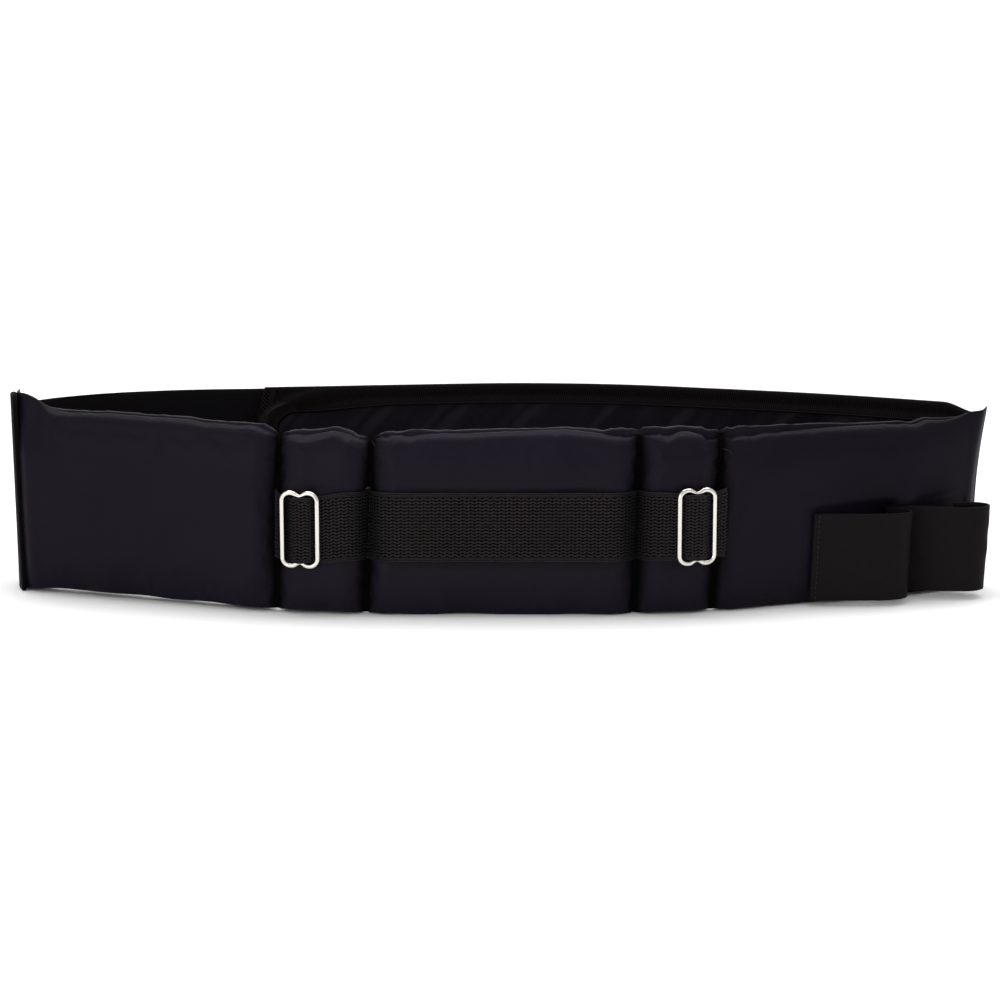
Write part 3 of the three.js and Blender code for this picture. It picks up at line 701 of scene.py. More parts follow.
covered = under_something(cover_points, stations, ring)
folds = fine_folds(cover_points, stations, ring)
folds = np.where(folds > 0, folds * (1 - covered), folds)
outwards = (movement * outward).sum(-1)
kept_in = np.maximum(outwards, 0) * covered
movement = movement * (1 - 0.65 * smooth((ring[:, 1] - 0.9) / 0.06))[None, :, None]
movement = movement * end_calm(stations)[:, None, None]
cover_rows = cover_points + movement + outward * (folds - kept_in)[..., None]
cover_rows[..., 2] = np.maximum(cover_rows[..., 2], 0)
at_seams = length_along(cover_rows)[np.searchsorted(stations, SEAM_AT[1:5] - 0.01)] / MM
nylon = nylon_finish("nylon_cover", (0.0040, 0.0031, 0.0058), (0.0075, 0.0058, 0.0109), 0.35, at_seams)
pad_cover = skin("pad_cover", cover_rows)
belongs(pad_cover, "nylon", nylon, "front_pad")

# %% [markdown]
# ## Beads on a line, and cords on a line
# Stitches and woven yarns are one small shape repeated along a path, and ribs and wires are one round
# swept along a path. Geometry Nodes does both: the first tree lays a bead at even steps along each line
# and can tilt every other one, and the second sweeps a round. Each is built once and used with other
# sizes.


# %% The tree that lays beads along lines
def new_tree(name, numbers):
    """An empty Geometry Nodes tree with named inputs."""
    tree = bpy.data.node_groups.new(name, "GeometryNodeTree")
    tree.interface.new_socket("Lines", in_out="INPUT", socket_type="NodeSocketGeometry")
    for label, kind in numbers.items():
        tree.interface.new_socket(label, in_out="INPUT", socket_type=kind)
    tree.interface.new_socket("Mesh", in_out="OUTPUT", socket_type="NodeSocketGeometry")
    return tree, tree.nodes.new("NodeGroupInput"), tree.nodes.new("NodeGroupOutput")


def add_node(tree, kind, settings=None, sockets=None):
    made = tree.nodes.new(kind)
    for key, value in (settings or {}).items():
        setattr(made, key, value)
    for key, value in (sockets or {}).items():
        if isinstance(value, bpy.types.NodeSocket):
            tree.links.new(value, made.inputs[key])
        else:
            made.inputs[key].default_value = value
    return made


def bead_tree():
    number, whole = "NodeSocketFloat", "NodeSocketInt"
    tree, given, result = new_tree("beads_on_lines", {
        "Count": whole, "Length": number, "Width": number, "Depth": number, "Tilt": number,
        "Unevenness": number, "Seed": whole, "Finish": "NodeSocketMaterial"})
    curve = add_node(tree, "GeometryNodeMeshToCurve", {}, {"Mesh": given.outputs["Lines"]})
    upright = add_node(tree, "GeometryNodeSetCurveNormal", {}, {"Curve": curve.outputs[0]})
    if hasattr(upright, "mode"):
        upright.mode = "Z_UP"
    places = add_node(tree, "GeometryNodeCurveToPoints", {"mode": "COUNT"},
                      {"Curve": upright.outputs[0], "Count": given.outputs["Count"]})
    along = add_node(tree, "FunctionNodeAlignRotationToVector", {"axis": "X"},
                     {"Vector": places.outputs["Tangent"]})
    outwards_too = add_node(tree, "FunctionNodeAlignRotationToVector", {"axis": "Z", "pivot_axis": "X"},
                            {"Rotation": along.outputs[0], "Vector": places.outputs["Normal"]})
    index = add_node(tree, "GeometryNodeInputIndex")
    parity = add_node(tree, "ShaderNodeMath", {"operation": "MODULO"}, {0: index.outputs[0], 1: 2.0})
    sign = add_node(tree, "ShaderNodeMath", {"operation": "MULTIPLY_ADD"},
                    {0: parity.outputs[0], 1: 2.0, 2: -1.0})
    angle = add_node(tree, "ShaderNodeMath", {"operation": "MULTIPLY"},
                     {0: sign.outputs[0], 1: given.outputs["Tilt"]})
    swing = add_node(tree, "FunctionNodeAxisAngleToRotation", {},
                     {"Axis": (0, 0, 1), "Angle": angle.outputs[0]})
    turned = add_node(tree, "FunctionNodeRotateRotation", {"rotation_space": "LOCAL"},
                      {"Rotation": outwards_too.outputs[0], "Rotate By": swing.outputs[0]})
    less, more = [add_node(tree, "ShaderNodeMath", {"operation": operation},
                           {0: 1.0, 1: given.outputs["Unevenness"]}) for operation in ("SUBTRACT", "ADD")]
    uneven = add_node(tree, "FunctionNodeRandomValue", {"data_type": "FLOAT"},
                      {2: less.outputs[0], 3: more.outputs[0], "Seed": given.outputs["Seed"]})
    size = add_node(tree, "ShaderNodeCombineXYZ", {}, {
        "X": given.outputs["Length"], "Y": given.outputs["Width"], "Z": given.outputs["Depth"]})
    scaled = add_node(tree, "ShaderNodeVectorMath", {"operation": "SCALE"},
                      {0: size.outputs[0], "Scale": uneven.outputs[1]})
    bead = add_node(tree, "GeometryNodeMeshUVSphere", {}, {"Segments": 8, "Rings": 4, "Radius": 0.5})
    laid = add_node(tree, "GeometryNodeInstanceOnPoints", {}, {
        "Points": places.outputs["Points"], "Instance": bead.outputs["Mesh"],
        "Rotation": turned.outputs[0], "Scale": scaled.outputs[0]})
    real = add_node(tree, "GeometryNodeRealizeInstances", {}, {0: laid.outputs[0]})
    soft = add_node(tree, "GeometryNodeSetShadeSmooth", {}, {0: real.outputs[0]})
    done = add_node(tree, "GeometryNodeSetMaterial", {},
                    {0: soft.outputs[0], "Material": given.outputs["Finish"]})
    tree.links.new(done.outputs[0], result.inputs["Mesh"])
    return tree


beads_on_lines = bead_tree()


# %% The tree that sweeps a round along lines
def cord_tree():
    tree, given, result = new_tree("cords_on_lines", {
        "Radius": "NodeSocketFloat", "Sides": "NodeSocketInt", "Finish": "NodeSocketMaterial"})
    curve = add_node(tree, "GeometryNodeMeshToCurve", {}, {"Mesh": given.outputs["Lines"]})
    circle = add_node(tree, "GeometryNodeCurvePrimitiveCircle", {}, {
        "Resolution": given.outputs["Sides"], "Radius": given.outputs["Radius"]})
    swept = add_node(tree, "GeometryNodeCurveToMesh", {}, {
        "Curve": curve.outputs[0], "Profile Curve": circle.outputs[0], "Fill Caps": True})
    real = add_node(tree, "GeometryNodeRealizeInstances", {}, {0: swept.outputs[0]})
    soft = add_node(tree, "GeometryNodeSetShadeSmooth", {}, {0: real.outputs[0]})
    done = add_node(tree, "GeometryNodeSetMaterial", {},
                    {0: soft.outputs[0], "Material": given.outputs["Finish"]})
    tree.links.new(done.outputs[0], result.inputs["Mesh"])
    return tree


cords_on_lines = cord_tree()


# %% Lines as a mesh of edges, and a tree baked on them
def along_lines(name, lines, tree, closed=False, **inputs):
    """A plain mesh of what the tree makes on these lines of points, in millimetres."""
    points, edges = [], []
    for line in lines:
        first = len(points)
        points += (np.asarray(line) * MM).tolist()
        edges += [(first + k, first + k + 1) for k in range(len(line) - 1)]
        if closed:
            edges.append((len(points) - 1, first))
    mesh = bpy.data.meshes.new(name + "_lines")
    mesh.from_pydata(points, edges, [])
    guide = bpy.data.objects.new(name + "_lines", mesh)
    bpy.context.scene.collection.objects.link(guide)
    maker = guide.modifiers.new("maker", "NODES")
    maker.node_group = tree
    sockets = {item.name: item.identifier for item in tree.interface.items_tree if item.in_out == "INPUT"}
    for label, value in inputs.items():
        maker[sockets[label]] = value
    shown = guide.evaluated_get(bpy.context.evaluated_depsgraph_get())
    made = bpy.data.meshes.new_from_object(shown)
    made.name = name
    bpy.data.objects.remove(guide)
    bpy.data.meshes.remove(mesh)
    piece = bpy.data.objects.new(name, made)
    bpy.context.scene.collection.objects.link(piece)
    face_out(piece)
    return piece


# %% [markdown]
# ## The webbing
# Belt webbing is woven on a narrow loom: stout yarns run along it and dive under a cross yarn every other
# pick, so the surface is rows of short floats that lean one way and then the other. A printed picture of
# it would fail from the side and at the edges, so the floats are real: beads along the rows, tilted in
# turn, on a thin band.

# %% Smooth ways through a table of points
def eased(table, step):
    """A smooth line through rows of numbers, of which the first two are a plan point, in even steps."""
    table = np.asarray(table, float)
    padded = np.concatenate([[2 * table[0] - table[1]], table, [2 * table[-1] - table[-2]]])
    gaps = np.sqrt(np.maximum(np.linalg.norm(np.diff(padded[:, :2], axis=0), axis=-1), 1e-6))[:, None]
    line = []
    for k in range(len(table) - 1):
        p0, p1, p2, p3 = padded[k:k + 4]
        d0, d1, d2 = gaps[k:k + 3]
        leave = ((p1 - p0) / d0 - (p2 - p0) / (d0 + d1) + (p2 - p1) / d1) * d1
        arrive = ((p2 - p1) / d1 - (p3 - p1) / (d1 + d2) + (p3 - p2) / d2) * d1
        t = np.linspace(0, 1, 24, endpoint=False)[:, None]
        line.append((2 * t ** 3 - 3 * t ** 2 + 1) * p1 + (t ** 3 - 2 * t ** 2 + t) * leave
                    + (3 * t ** 2 - 2 * t ** 3) * p2 + (t ** 3 - t ** 2) * arrive)
    line = np.concatenate([*line, table[-1:]])
    passed = passed_along(line[:, :2])
    count = max(2, round(passed[-1] / step))
    places = np.linspace(0, passed[-1], count + 1)
    return np.stack([np.interp(places, passed, line[:, d]) for d in range(line.shape[1])], -1)


def sideways(way):
    """The unit direction to the left of a way in plan, at each of its points."""
    along = np.gradient(way[:, :2], axis=0)
    along /= np.linalg.norm(along, axis=-1, keepdims=True)
    return np.stack([-along[:, 1], along[:, 0]], -1)


def band_rows(way, low, high, lean, one_side, other_side, levels=6, corner=0.5, wave=None):
    """Rows of points round an upright band of cloth with softly rounded edges."""
    left = sideways(way)
    climb = np.linspace(0, 1, levels)
    middle, reach = (one_side + other_side) / 2, (one_side - other_side) / 2
    turn = np.array([(0.3, 0.86), (0.06, 0.5), (0, 0), (0.06, -0.5), (0.3, -0.86)])
    rows = []
    for k in range(len(way)):
        z_low, z_high = low[k] + corner, high[k] - corner
        up = [(mix(z_low, z_high, t), reach) for t in climb]
        over = [(high[k] - corner * d, reach * o) for d, o in turn]
        down = [(mix(z_high, z_low, t), -reach) for t in climb]
        under = [(low[k] + corner * d, -reach * o) for d, o in turn]
        loop = np.array([*up, *over, *down, *under])
        off = loop[:, 1] + middle
        if wave is not None:
            off = off + wave(k, loop[:, 0])
        plan = way[k, :2] + left[k] * off[:, None]
        rows.append(standing(plan, loop[:, 0], lean[k]))
    return np.array(rows)


# %% The webbing's way over the pad and through the slides
WEBBING_LOW, WEBBING_HIGH, WEBBING_CLEAR, WEBBING_BOTTOM = 31, 69, 0.5, 2.1
# Past the bar toward the middle, in front of the pad's middle line, and half the webbing's width.
THREADING = [
    (-9.8, 7.5, 18), (-6.2, 9.3, 17.8), (-3.8, 12.4, 17.5), (-1.9, 14.2, 18.2), (1.8, 14.4, 18.2),
    (4.6, 13.4, 17.8), (6.9, 10.25, 17.8), (12, 10.25, 18.6)]
SLIDES = {"left": (1, 13.2, 1, 48.4), "right": (4, 12.4, -1, 49.9)}


def webbing_table():
    """Rows of plan x, plan y, low, high and lean, from the left end to the right end."""
    def row(s, off, low=WEBBING_LOW, high=WEBBING_HIGH, lean=None):
        x, y = pad_plan(s, off)
        return x, y, low, high, lean_at(s) if lean is None else lean

    def on_pad(s):
        return row(s, pad_half(s) + WEBBING_CLEAR)

    def threaded(seam, start, inward, up):
        return [row(SEAM_AT[seam] + inward * (start + past), off, up - half, up + half, 0)
                for past, off, half in THREADING]

    def loose_end(s, up):
        return row(s, pad_half(s) + 1.1, WEBBING_LOW + up, WEBBING_HIGH + up, 1.5)

    def over_seam(at):
        beside = (2.8, 6, 12)
        before = [on_pad(at - d) for d in beside[::-1]]
        return [*before, row(at, WEBBING_BOTTOM), *[on_pad(at + d) for d in beside]]

    first, last = SEAM_AT[2], SEAM_AT[3]
    return np.array([
        loose_end(SEAM_AT[1] - 0.3, -0.4), *threaded(*SLIDES["left"]), *over_seam(first),
        *[on_pad(mix(first, last, t)) for t in (0.25, 0.5, 0.75)], *over_seam(last),
        *threaded(*SLIDES["right"])[::-1], loose_end(SEAM_AT[4] + 3.1, 0.3)])


webbing_way = eased(webbing_table(), 1.0)
print("the webbing's way has", len(webbing_way), "points")


# %% [markdown]
# ### Its finish
# The yarns are dull spun nylon, a neutral dark grey beside the violet pad. Each float is a bundle of
# fibres, so its shine is streaked along it. A stretched noise gives the streaks, and wear lightens a few
# of them. Where the webbing sinks into a seam, and near its left end, its colour is painted shade.

# %% Webbing, elastic, strap, tape and lining finishes
def spun_finish(name, dark, light, rough, specular, streak=(1, 1, 1), scale=900, depth=0.00012, sheen=0.0,
                painted_shade_at=()):
    """A dull fibrous cloth: fine streaks, a slow unevenness, and painted shade near the given places."""
    finish = Finish(name)
    streaks = finish.noise(scale, detail=3, roughness=0.65, stretch=streak)
    handled = finish.noise(30, detail=3)
    colour = finish.between(dark, light, (streaks * 0.75 + handled * 0.45 - 0.1).clamped())
    if len(painted_shade_at):
        # painted shade: near each given place the colour goes nearly black
        painted_shade = sum(finish.rightward().near(place, reach) * 0.98 for place, reach in painted_shade_at)
        colour = finish.between_colours(colour, PAINTED_SHADE_COLOUR, painted_shade)
    roughness = handled * 0.12 + (rough - 0.06)
    normal = finish.raised(streaks, depth, 0.6)
    return finish.surface(base_color=colour, roughness=roughness, normal=normal,
                          specular_ior_level=specular, sheen_weight=sheen, sheen_roughness=0.5)


webbing_sewn = pad_plan(SEAM_AT[2:4], WEBBING_BOTTOM)[:, 0] - (0, 1.4)
# painted shade on the webbing where it sinks into the two middle seams and near its left end
webbing_shade_at = [*zip(webbing_sewn, (7, 7)), (webbing_way[0, 0] + 3, 7)]
webbing_yarn = spun_finish("webbing_yarn", (0.0054, 0.0043, 0.0046), (0.0272, 0.0214, 0.0223),
                           rough=0.62, specular=0.16, streak=(0.25, 1, 1.4), painted_shade_at=webbing_shade_at)
webbing_ground = spun_finish("webbing_ground", (0.0008, 0.0007, 0.0007), (0.002, 0.0017, 0.0018),
                             rough=0.9, specular=0.05)
webbing_edge = spun_finish("webbing_edge", (0.009, 0.0076, 0.0078), (0.019, 0.0158, 0.0162),
                           rough=0.65, specular=0.18, streak=(0.2, 1, 1), painted_shade_at=webbing_shade_at)
webbing_thread = spun_finish("webbing_thread", (0.012, 0.0105, 0.011), (0.026, 0.022, 0.023),
                             rough=0.65, specular=0.18)

# %% The webbing's ground, its yarn floats and its edges
way_low, way_high, way_lean = webbing_way[:, 2:5].T
ground = band_rows(webbing_way, way_low, way_high, way_lean, 0, -1.0, levels=5, corner=0.45)
webbing = skin("webbing", ground)
belongs(webbing, "webbing", webbing_ground, "webbing_band")


def lines_on_webbing(shares, off):
    """A line along the webbing at each share of its width, off in front of its inner face."""
    plan = webbing_way[:, :2] - sideways(webbing_way) * off
    return [standing(plan, mix(way_low, way_high, share), way_lean) for share in shares]


ROWS = 18
EDGE_SHARE = 0.07
SELVEDGE = (0.012, 0.034, 0.056, 0.944, 0.966, 0.988)
row_shares = EDGE_SHARE + (1 - 2 * EDGE_SHARE) * (np.arange(ROWS) + 0.5) / ROWS
webbing_length = float(np.linalg.norm(np.diff(webbing_way[:, :2], axis=0), axis=-1).sum())
FLOAT_PITCH = 2.05
webbing_yarns = along_lines(
    "webbing_yarns", lines_on_webbing(row_shares, 1.0), beads_on_lines,
    Count=2 * round(webbing_length / FLOAT_PITCH / 2), Length=2.8 * MM, Width=1.2 * MM, Depth=1.0 * MM,
    Tilt=math.radians(31), Unevenness=0.08, Seed=4, Finish=webbing_yarn)
belongs(webbing_yarns, "webbing", webbing_yarn)
webbing_edges = along_lines(
    "webbing_edges", lines_on_webbing(SELVEDGE, 0.72), beads_on_lines, Count=round(webbing_length / 0.8),
    Length=1.25 * MM, Width=0.9 * MM, Depth=1.3 * MM, Tilt=math.radians(12), Unevenness=0.08, Seed=6,
    Finish=webbing_edge)
belongs(webbing_edges, "webbing", webbing_edge)

# %% [markdown]
# ## The wire slides
# Each slide is one wire bent into a rectangle whose top and bottom dip in the middle, with a bar across
# for the webbing to turn on. It could be a bevelled curve object. Here the wire's middle line is a row of
# points and the sweeping tree gives it its round, so that a tight bend keeps its thickness.

# %% Nickel
def nickel_finish():
    finish = Finish("nickel_wire")
    drawn = finish.noise(420, detail=4, roughness=0.7, stretch=(1, 1, 0.12))
    worn = finish.noise(60, detail=3)
    colour = finish.between((0.60, 0.57, 0.52), (0.78, 0.755, 0.70), worn)
    roughness = worn * 0.12 + drawn * 0.06 + 0.06
    normal = finish.raised(drawn, 0.00004, 0.5)
    return finish.surface(base_color=colour, metallic=1.0, roughness=roughness, normal=normal)


nickel = nickel_finish()

# %% Two slides
WIRE = 1.4
SLIDE_WIDTH, SLIDE_HEIGHT, SLIDE_CORNER, NOTCH, NOTCH_HALF = 22.1, 42.9, 5.8, 2.0, 4.4
BAR_OFF = 12.5
SLIDE_TILT = 6.5


def slide_outline():
    """The wire's middle line in its own plane, from the middle of its top round."""
    across, up, bend = SLIDE_WIDTH / 2 - WIRE, SLIDE_HEIGHT / 2 - WIRE, SLIDE_CORNER - WIRE
    t = np.linspace(0, 1, 9)
    notch = np.stack([t * NOTCH_HALF, up - NOTCH * (0.5 + 0.5 * np.cos(np.pi * t))], -1)
    a = np.linspace(0, np.pi / 2, 10)
    corner = np.stack([across - bend + bend * np.sin(a), up - bend + bend * np.cos(a)], -1)
    quarter = np.concatenate([notch, corner])
    right = np.concatenate([quarter, quarter[::-1] * (1, -1)])
    left = right[1:-1][::-1] * (-1, 1)
    return np.concatenate([right, left])


def slide_lines(side):
    seam, start, inward, up = SLIDES[side]
    s = SEAM_AT[seam] + inward * start
    turned = heading_at(s) - inward * math.radians(SLIDE_TILT)
    x, y = pad_plan(s, BAR_OFF)

    def placed(flat):
        across, rise = flat.T
        return np.stack([x + across * math.cos(turned), y + across * math.sin(turned), up + rise], -1)

    reach = SLIDE_HEIGHT / 2 - WIRE - NOTCH
    bar = np.stack([np.zeros(9), np.linspace(-reach, reach, 9)], -1)
    return placed(slide_outline()), placed(bar)


def joined(name, pieces):
    """Several meshes as one piece."""
    whole = pieces[0]
    with bpy.context.temp_override(active_object=whole, selected_editable_objects=pieces):
        bpy.ops.object.join()
    whole.name = whole.data.name = name
    return whole


for side in SLIDES:
    outline, bar = slide_lines(side)
    nickel_wire = {"Radius": WIRE * MM, "Sides": 20, "Finish": nickel}
    frame_wire = along_lines("slide_frame", [outline], cords_on_lines, closed=True, **nickel_wire)
    bar_wire = along_lines("slide_bar", [bar], cords_on_lines, **nickel_wire)
    wire = joined("slide_wire_" + side, [frame_wire, bar_wire])
    belongs(wire, "nickel", nickel, "slide_" + side)

# %% [markdown]
# ## The elastic
# Wide elastic is knitted round rubber cords that run along it, so it is finely ribbed and dull. The strip
# is sewn down, stands off as a first loop, is sewn again, and stands off as a second. Its path in plan is
# a table, and the band is skinned along it. The ribs are too fine to see at arm's length, so the finish
# carries them.

# %% Elastic
ELASTIC_WAY = [
    (170.4, -45.4), (178, -46), (196, -46.2), (210, -45.8), (218, -44.2), (222.6, -40.8),
    (223.6, -36.6), (221.4, -33), (216.4, -29.6), (212.4, -27.6), (211.2, -25.9), (213.4, -24.6),
    (220, -25.2), (232, -27.4), (246, -30.6), (256, -31.6), (263.4, -30), (267.4, -26), (267.4, -21.6),
    (263, -18.6), (256, -17.6), (249, -18.4)]
ELASTIC_THICK = 1.6


def ribbed_finish(name, dark, light, rough, specular, pitch, cross, depth):
    """A knitted cloth with ribs along its map and finer rows across them."""
    finish = Finish(name)
    along, across = finish.cloth_places()
    ribs = (across * (TURN / pitch)).sine() * 0.5 + 0.5
    rows = (along * (TURN / cross)).sine() * 0.5 + 0.5
    fibres = finish.noise(700, detail=3, roughness=0.7)
    handled = finish.noise(34, detail=3)
    shade = ribs * 0.2 + rows * 0.12 + fibres * 0.4 + handled * 0.4 - 0.1
    colour = finish.between(dark, light, shade.clamped())
    normal = finish.raised(ribs * 0.6 + rows * 0.3 + fibres * 0.4, depth, 0.6)
    return finish.surface(base_color=colour, roughness=handled * 0.12 + (rough - 0.06), normal=normal,
                          specular_ior_level=specular)


elastic_knit = ribbed_finish("elastic_knit", (0.0036, 0.0027, 0.0032), (0.0078, 0.0061, 0.0071),
                             rough=0.6, specular=0.06, pitch=0.95, cross=0.6, depth=0.00014)
elastic_way = eased(np.array(ELASTIC_WAY) + TO_MIDDLE, 1.0)
elastic_share = smooth(2 * np.arange(len(elastic_way)) / len(elastic_way) - 0.5)
elastic_low = mix(3.4, 4.8, elastic_share)
elastic_high = mix(51.9, 52, elastic_share)
elastic_lean = mix(3.7, 4.8, elastic_share)


def elastic_wave(k, z):
    return 0.16 * ripple(k / 13 + z * 0, z / 18, 21)


elastic_rows = band_rows(elastic_way, elastic_low, elastic_high, elastic_lean, ELASTIC_THICK / 2,
                         -ELASTIC_THICK / 2, levels=22, corner=0.6, wave=elastic_wave)
elastic_strip = skin("elastic_strip", elastic_rows)
belongs(elastic_strip, "elastic", elastic_knit, "elastic_loops")

# %% [markdown]
# ## The lined panel
# Behind the pad a thin lined panel runs round to a free end, and its upper edge shows above the pad's
# crest. The lining is loose on it, so soft creases cross it on the bias. They could be simulated, but
# their direction is what the eye sees, so they are long slanting waves.

# %% The panel's way, and a point anywhere on it
TONGUE_WAY = [
    (262, 3.6), (256.4, 6.6), (233.6, 15.6), (180, 34), (113.4, 51), (68.4, 60.8), (11.4, 65),
    (-56.9, 60), (-113.5, 55), (-133.4, 53.5)]
TONGUE_HIGH, TONGUE_THICK, TONGUE_BULGE, SEWN_DROP, DROP_REACH = 102.4, 2.4, 7.5, 4.5, 18
TAPE_WIDE, TAPE_WIDE_END, TAPE_WIDE_CORNER, TAPE_WIDENING, TAPE_THICK, TAPE_CLEAR, TAPE_ROUND = (
    10.5, 12, 14, 60, 1, 0.3, 9)
tongue_way = eased(np.array(TONGUE_WAY) + TO_MIDDLE, 2)
tongue_passed = passed_along(tongue_way)
TONGUE_END = float(tongue_passed[-1])
tongue_side = -sideways(tongue_way)
tongue_run = (tongue_way[-1] - tongue_way[-2]) / np.linalg.norm(tongue_way[-1] - tongue_way[-2])


def tongue_point(along, z, behind):
    """A point of the panel: how far from its sewn end, its height, and how far behind its middle."""
    along, z, behind = np.broadcast_arrays(np.asarray(along, float), z, behind)
    past = np.maximum(along - TONGUE_END, 0)
    plan = [np.interp(along, tongue_passed, tongue_way[:, d]) + tongue_run[d] * past
            + np.interp(along, tongue_passed, tongue_side[:, d]) * behind for d in (0, 1)]
    return np.stack([*plan, z], -1)


def tongue_bulge(z):
    return TONGUE_BULGE * (1 - (2 * z / TONGUE_HIGH - 1) ** 2)


def tongue_top(along):
    return TONGUE_HIGH - SEWN_DROP * (1 - smooth(along / DROP_REACH))


print("the panel is", round(TONGUE_END), "mm long; its side points to", tongue_side[60].round(2))

# %% The lining panel
lining_cloth = spun_finish("lining_cloth", (0.0044, 0.0031, 0.0060), (0.0108, 0.0078, 0.0142),
                           rough=0.45, specular=0.08, scale=300, depth=0.0001)
PANEL_INSET = TAPE_THICK + TAPE_CLEAR
LIP_ROWS = 6


def sewn_lip(first_row, side):
    """The rows that carry the panel on to the pad's end, where the two are sewn together."""
    pad_end = cover_rows[-1][ring[:, 0] < -0.2]
    pad_end = pad_end[pad_end[:, 2].argsort()]
    at_pad = [np.interp(first_row[:, 2], pad_end[:, 2], pad_end[:, d]) for d in (0, 1)]
    lip = np.stack([at_pad[0] + 0.4 + 0.45 * side, at_pad[1] - 1, first_row[:, 2]], -1)
    return mix(lip[None], first_row[None], (np.arange(LIP_ROWS) / LIP_ROWS)[:, None, None])


def panel_rows():
    along = np.linspace(0, TONGUE_END, 220)[:, None]
    levels = np.linspace(0, 1, 40)
    up = np.concatenate([levels, levels[::-1]])[None, :]
    side = np.concatenate([-np.ones(40), np.ones(40)])[None, :]
    z = mix(PANEL_INSET, tongue_top(along) - PANEL_INSET, up)
    stretched = along * (1 + (tongue_bulge(z) - PANEL_INSET) / TONGUE_END)
    under_tape = smooth(np.minimum(up, 1 - up) * 100 / 12 - 0.2)
    slant = (along + 0.8 * z) / 30
    creases = 0.8 * ripple(slant, (along - z) / 150, 31) + 0.42 * ripple(slant * 2.1, (along - z) / 90, 33)
    half = TONGUE_THICK / 2 * np.ones_like(z) * side
    panel = tongue_point(stretched, z, half + creases * under_tape * 1.1)
    return np.concatenate([sewn_lip(panel[0], side[0]), panel])


lining_panel = skin("lining_panel", panel_rows())
belongs(lining_panel, "lining", lining_cloth, "inner_tongue")

# %% [markdown]
# ## The binding
# The panel's raw edges are bound with grosgrain tape, folded over them and sewn. Grosgrain has a rib
# across it for every weft, so its fold looks finely toothed and its ribs fan out round a corner. The tape
# is skinned as a folded strip, and each rib is a fine cord swept over it by the second tree.

# %% Where the tape's ribs lie on the flat panel
TAPE_INNER = TONGUE_THICK / 2 + TAPE_CLEAR
TAPE_OUTER = TAPE_INNER + TAPE_THICK - 0.3
TAPE_TURN = TONGUE_END - TAPE_WIDE_END - TAPE_ROUND
CORNER_Z = TONGUE_HIGH - TAPE_WIDE_CORNER - TAPE_ROUND


def tape_pairs(pitch):
    """The tape's fold and its inner edge, each as (along, z), a pair for each rib, round the panel."""
    along = np.linspace(0, TAPE_TURN, round(TAPE_TURN / pitch))
    width = mix(TAPE_WIDE, TAPE_WIDE_CORNER, smooth((along - TAPE_TURN) / TAPE_WIDENING + 1))
    top = np.stack([along, tongue_top(along), along, tongue_top(along) - width], -1)
    diagonal = math.atan2(TAPE_WIDE_END + TAPE_ROUND, TAPE_WIDE_CORNER + TAPE_ROUND)
    count = round((TAPE_WIDE_END + TAPE_WIDE_CORNER + 2 * TAPE_ROUND) / pitch)
    angle = np.linspace(0, np.pi / 2, 2 * (count // 2) + 1)[1:-1]
    angle[np.abs(angle - diagonal).argmin()] = diagonal
    way = np.stack([np.sin(angle), np.cos(angle)], -1)
    reach = np.min((TAPE_WIDE_END + TAPE_ROUND, TAPE_WIDE_CORNER + TAPE_ROUND) / way, axis=-1)
    centre = np.array([TAPE_TURN, CORNER_Z])
    corner = np.concatenate([centre + way * reach[:, None], centre + way * TAPE_ROUND], -1)
    middle = TONGUE_HIGH / 2
    z = np.linspace(CORNER_Z, middle, round((CORNER_Z - middle) / pitch))[:-1]
    end = np.stack([np.full(len(z), TONGUE_END), z, np.full(len(z), TONGUE_END - TAPE_WIDE_END), z], -1)
    half = np.concatenate([top, corner, end])
    lower = half[::-1].copy()
    drop = TONGUE_HIGH - tongue_top(lower[:, 0])
    lower[:, 1] = TONGUE_HIGH - drop - lower[:, 1]
    lower[:, 3] = TONGUE_HIGH - drop - lower[:, 3]
    return np.concatenate([half, lower])


# The tape's upper line, as (in from the panel's end, down from its edge): it is tucked in at the corner.
TUCK = eased([
    (80, 0), (60, 0.1), (44, 0.5), (34, 1), (26, 1.7), (20.1, 2.8), (16.9, 3.7), (13.8, 4.9), (11.8, 5.9),
    (9.8, 7.3), (8, 9), (5.9, 10), (4.5, 11.3), (3.2, 12.8), (2.4, 14.2), (1.6, 16), (0.9, 17.7),
    (0.6, 19.5), (0.2, 24), (0, 30)], 0.8)
TUCK_ALONG = np.gradient(TUCK, axis=0) / np.linalg.norm(np.gradient(TUCK, axis=0), axis=-1, keepdims=True)
# (share from the upper line to the inner edge, millimetres off the flat tape), straight and at the corner
ROLL = [
    (0, -0.9), (0.05, -0.75), (0.1, -0.5), (0.15, -0.3), (0.2, -0.15), (0.3, 0), (0.5, 0), (0.57, 0.05),
    (0.63, 0.3), (0.68, 0.6), (0.74, 1), (0.79, 1.4), (0.84, 1.75), (0.9, 2), (0.95, 2.1), (1, 2)]
CORNER_ROLL = [
    (0, -0.3), (0.08, 0.6), (0.16, 1.15), (0.25, 1.55), (0.35, 1.8), (0.45, 1.85), (0.55, 1.7),
    (0.63, 1.4), (0.7, 0.9), (0.75, 0.85), (0.82, 1.2), (0.9, 1.4), (1, 1.2)]
CORNER_FLAT = -0.5


